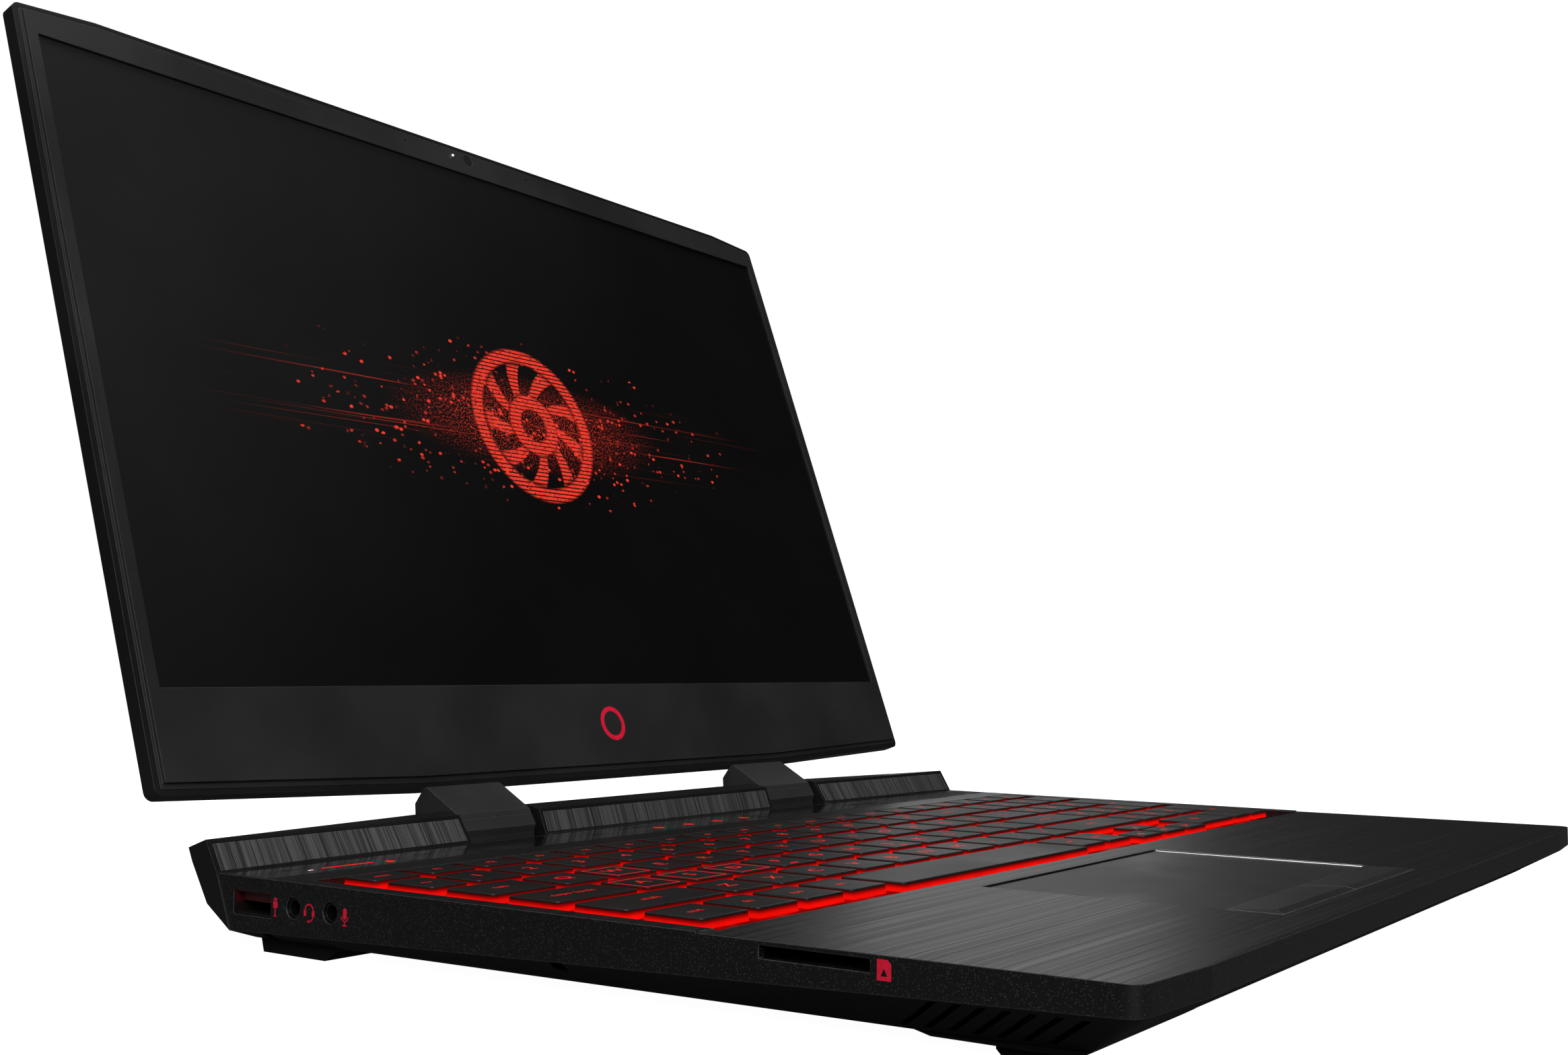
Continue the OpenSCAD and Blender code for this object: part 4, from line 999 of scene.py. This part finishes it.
class OBJECT_OT_laptop_lights(bpy.types.Operator):
    """Build the power button's light bar and ring, the charge light and the camera's light"""
    bl_idname = "object.laptop_lights"
    bl_label = "Small lights"

    def execute(self, context):
        finish = context.scene.laptop_finish
        glow = glowing_surface("BarLight", finish.glow, 0.9, 0.1)
        white = glowing_surface("WhiteLight", (0.9, 0.92, 0.95), 0.8, 0.1)
        front = low("power_button")[1]
        button = Plane((-HALF_W, front, high("power_button")[2]), (1.0, 0.0, 0.0), (0.0, 1.0, 0.0))
        bm = bmesh.new()
        inlay(bm, button, in_mm(bar(22.0, 38.4, 4.2, 4.75)))
        inlay(bm, button, in_mm(band(42.6, 2.6, 0.85, 1.15, -250, 70, 20)))
        inlay(bm, button, in_mm(bar(42.47, 42.73, 2.9, 4.2)))
        new_piece("power_light", finish_mesh(bm, "power_light"), "power", (glow,))
        bm = bmesh.new()
        strip = Plane((-HALF_W, front, high("control_strip")[2]), (1.0, 0.0, 0.0), (0.0, 1.0, 0.0))
        inlay(bm, strip, in_mm(bar(16.8, 18.2, 3.3, 3.65)))
        new_piece("charge_light", finish_mesh(bm, "charge_light"), "base", (white,))
        bm = bmesh.new()
        face = lid_plane(0.0)
        inlay(bm, face, arc(-8.6 * MM, 250 * MM, 0.45 * MM, 0, 345, 23), 0.03 * MM, 0.3 * MM)
        new_piece("camera_light", finish_mesh(bm, "camera_light"), "lid", (white,))
        return {"FINISHED"}


class OBJECT_OT_laptop_trim(bpy.types.Operator):
    """Build the polished edge of the touchpad, and a thin black strip behind the glossy strip that covers the
    deck's rounded rear edge and hides the glint it catches
    """
    bl_idname = "object.laptop_trim"
    bl_label = "Trim"

    def execute(self, context):
        polished = metal("PolishedEdge", (0.80, 0.80, 0.82), (40.0, 40.0, 900.0), rough=(0.16, 0.3))
        flange = 3.0 * MM
        x1 = high("touchpad")[0] - flange
        y0 = low("touchpad")[1]
        y1 = high("touchpad")[1] - flange
        bm = bmesh.new()
        profile = ((-0.24, -0.44), (0.30, 0.03), (0.72, 0.04), (0.72, -0.1), (0.05, -0.44))
        rows = []
        for y in (y0 + 0.3 * MM, y1 - 0.6 * MM):
            rows.append([bm.verts.new((x1 + a * MM, y, DECK_Z + b * MM)) for a, b in profile])
        bridge(bm, rows[0], rows[1])
        bm.faces.new(rows[0])
        bm.faces.new(list(reversed(rows[1])))
        for face in bm.faces:
            face.smooth = False
        new_piece("touchpad_edge", finish_mesh(bm, "touchpad_edge"), "base", (polished,))
        # A thin black strip over the deck's rounded rear edge; it darkens that edge and hides its glint.
        rubber = moulded("DarkEdgeStrip", (0.006, 0.006, 0.006), rough=(0.55, 0.7))
        panel = min(solid_boxes("hump_panels"), key=lambda box: abs(box[0][0] + box[1][0]))
        rear = high("control_strip")[1]
        dark_strip_mesh = bmesh.new()
        loops = []
        for z in (DECK_Z - 0.1 * MM, DECK_Z + 0.07 * MM):
            outline = round_rect(panel[0][0], panel[1][0], rear - 0.05 * MM, rear + 1.2 * MM, 0.2 * MM)
            loops.append(ring_of(dark_strip_mesh, outline, z))
        bridge(dark_strip_mesh, loops[0], loops[1])
        dark_strip_mesh.faces.new(loops[1])
        dark_strip_mesh.faces.new(list(reversed(loops[0])))
        new_piece("dark_edge_strip", finish_mesh(dark_strip_mesh, "dark_edge_strip"), "base", (rubber,))
        return {"FINISHED"}


# ---------------------------------------------------------------- casing and lid

# Radius of the broken edges of these nodes
ROUNDED = {"top_cover": 0.5 * MM}


def round_edges(piece, radius):
    """Breaks the sharp edges of a node with modifiers, and leaves its mesh as it is."""
    weld = piece.modifiers.new("weld", "WELD")
    weld.merge_threshold = 0.002 * MM
    bevel = piece.modifiers.new("edges", "BEVEL")
    bevel.width = radius
    bevel.segments = 2
    bevel.limit_method = "ANGLE"
    bevel.angle_limit = math.radians(32)
    bevel.use_clamp_overlap = True
    bevel.harden_normals = True


class OBJECT_OT_laptop_casing(bpy.types.Operator):
    """Give every part of the design its own finish"""
    bl_idname = "object.laptop_casing"
    bl_label = "Finishes"

    def execute(self, context):
        finishes = all_finishes(context.scene.laptop_finish)
        for node, piece in NODES.items():
            if node in LEGENDS:
                continue
            if node not in finishes:
                raise RuntimeError("no finish for " + node)
            piece.data.materials.clear()
            piece.data.materials.append(finishes[node])
            if node in ROUNDED:
                round_edges(piece, ROUNDED[node])
        return {"FINISHED"}


class OBJECT_OT_laptop_stage(bpy.types.Operator):
    """Build the pale floor, the softboxes and the camera"""
    bl_idname = "object.laptop_stage"
    bl_label = "Stage"

    def execute(self, context):
        stage = context.scene.laptop_stage
        build_floor()
        build_world(context.scene)
        build_lights(stage)
        build_camera(context.scene, stage)
        context.scene.view_settings.view_transform = "Standard"
        return {"FINISHED"}


def build_floor():
    """A wide pale floor that looks evenly white and throws little light back."""
    bm = bmesh.new()
    bmesh.ops.create_grid(bm, x_segments=8, y_segments=8, size=10.0)
    floor = bpy.data.objects.new("floor", finish_mesh(bm, "floor"))
    bpy.context.scene.collection.objects.link(floor)
    mat, g, shader, place = surface("PaleFloor")
    mottle = g.noise(place, 3.0, 3.0)
    seen = g.add("LightPath").outputs["Is Camera Ray"]
    pale = g.blend(mottle, colour((0.86, 0.86, 0.86)), colour((0.90, 0.90, 0.90)))
    set_shader(g, shader, Base_Color=g.blend(seen, colour((0.10, 0.10, 0.10)), pale),
               Roughness=0.8, Specular_IOR_Level=0.1, Emission_Color=(1.0, 1.0, 1.0, 1.0),
               Emission_Strength=g.fit(seen, 0.96, 0.02))
    floor.data.materials.append(mat)


def build_world(scene):
    """White to look at, and dark in reflections."""
    world = bpy.data.worlds.new("studio")
    scene.world = world
    world.use_nodes = True
    g = Graph(world.node_tree)
    back = world.node_tree.nodes["Background"]
    seen = g.add("LightPath").outputs["Is Camera Ray"]
    g.feed(back.inputs["Color"], (1.0, 1.0, 1.0, 1.0))
    g.feed(back.inputs["Strength"], g.fit(seen, 0.97, 0.03))


def softbox(name, place, target, width, height, power):
    data = bpy.data.lights.new(name, "AREA")
    data.shape = "RECTANGLE"
    data.size = width
    data.size_y = height
    data.energy = power
    lamp_object = bpy.data.objects.new(name, data)
    bpy.context.scene.collection.objects.link(lamp_object)
    lamp_object.location = place
    lamp_object.visible_camera = False
    lamp_object.rotation_euler = (Vector(target) - Vector(place)).to_track_quat("-Z", "Y").to_euler()


def build_lights(stage):
    softbox("overhead", (-0.2, 0.1, 1.3), (0.0, 0.0, 0.0), 0.9, 0.9, stage.key_light)
    softbox("behind", (0.93, 0.46, 0.40), (-0.05, -0.1, 0.02), 0.36, 0.5, stage.rear_light)
    softbox("left", (-0.9, -0.9, 0.75), (0.0, 0.1, 0.1), 0.8, 0.8, stage.side_light)


def build_camera(scene, stage):
    data = bpy.data.cameras.new("camera")
    camera = bpy.data.objects.new("camera", data)
    scene.collection.objects.link(camera)
    forward = Vector(stage.aim).normalized()
    level = forward.cross(Vector((0.0, 0.0, 1.0))).normalized()
    upright = level.cross(forward)
    right = level * math.cos(stage.roll) + upright * math.sin(stage.roll)
    up = right.cross(forward)
    turned = Matrix((right, up, -forward)).transposed().to_4x4()
    camera.matrix_world = Matrix.Translation(stage.place) @ turned
    data.sensor_width = 36.0
    data.lens = stage.lens
    data.shift_x, data.shift_y = stage.shift
    data.clip_start = 0.01
    data.clip_end = 50.0
    scene.camera = camera


# ---------------------------------------------------------------- panel and registration


class VIEW3D_PT_laptop(bpy.types.Panel):
    """Lists what builds the laptop"""
    bl_label = "Backlit Laptop"
    bl_idname = "VIEW3D_PT_laptop"
    bl_space_type = "VIEW_3D"
    bl_region_type = "UI"
    bl_category = "Laptop"

    def draw(self, context):
        layout = self.layout
        for group in (context.scene.laptop_finish, context.scene.laptop_keys, context.scene.laptop_stage):
            box = layout.box()
            for name in group.bl_rna.properties.keys():
                if name not in ("rna_type", "name"):
                    box.prop(group, name)
        for step in STEPS:
            layout.operator(step.bl_idname)


STEPS = (
    OBJECT_OT_laptop_stage,
    OBJECT_OT_laptop_casing,
    OBJECT_OT_laptop_keys,
    OBJECT_OT_laptop_signs,
    OBJECT_OT_laptop_lights,
    OBJECT_OT_laptop_trim,
)
SETTINGS = (
    ("laptop_finish", FinishSettings),
    ("laptop_keys", KeySettings),
    ("laptop_stage", StageSettings),
)


def register():
    for name, group in SETTINGS:
        bpy.utils.register_class(group)
        setattr(bpy.types.Scene, name, PointerProperty(type=group))
    for step in STEPS:
        bpy.utils.register_class(step)
    bpy.utils.register_class(VIEW3D_PT_laptop)


def unregister():
    bpy.utils.unregister_class(VIEW3D_PT_laptop)
    for step in reversed(STEPS):
        bpy.utils.unregister_class(step)
    for name, group in reversed(SETTINGS):
        delattr(bpy.types.Scene, name)
        bpy.utils.unregister_class(group)


def main():
    register()
    for step in STEPS:
        family, action = step.bl_idname.split(".")
        getattr(getattr(bpy.ops, family), action)()


if __name__ == "__main__":
    main()
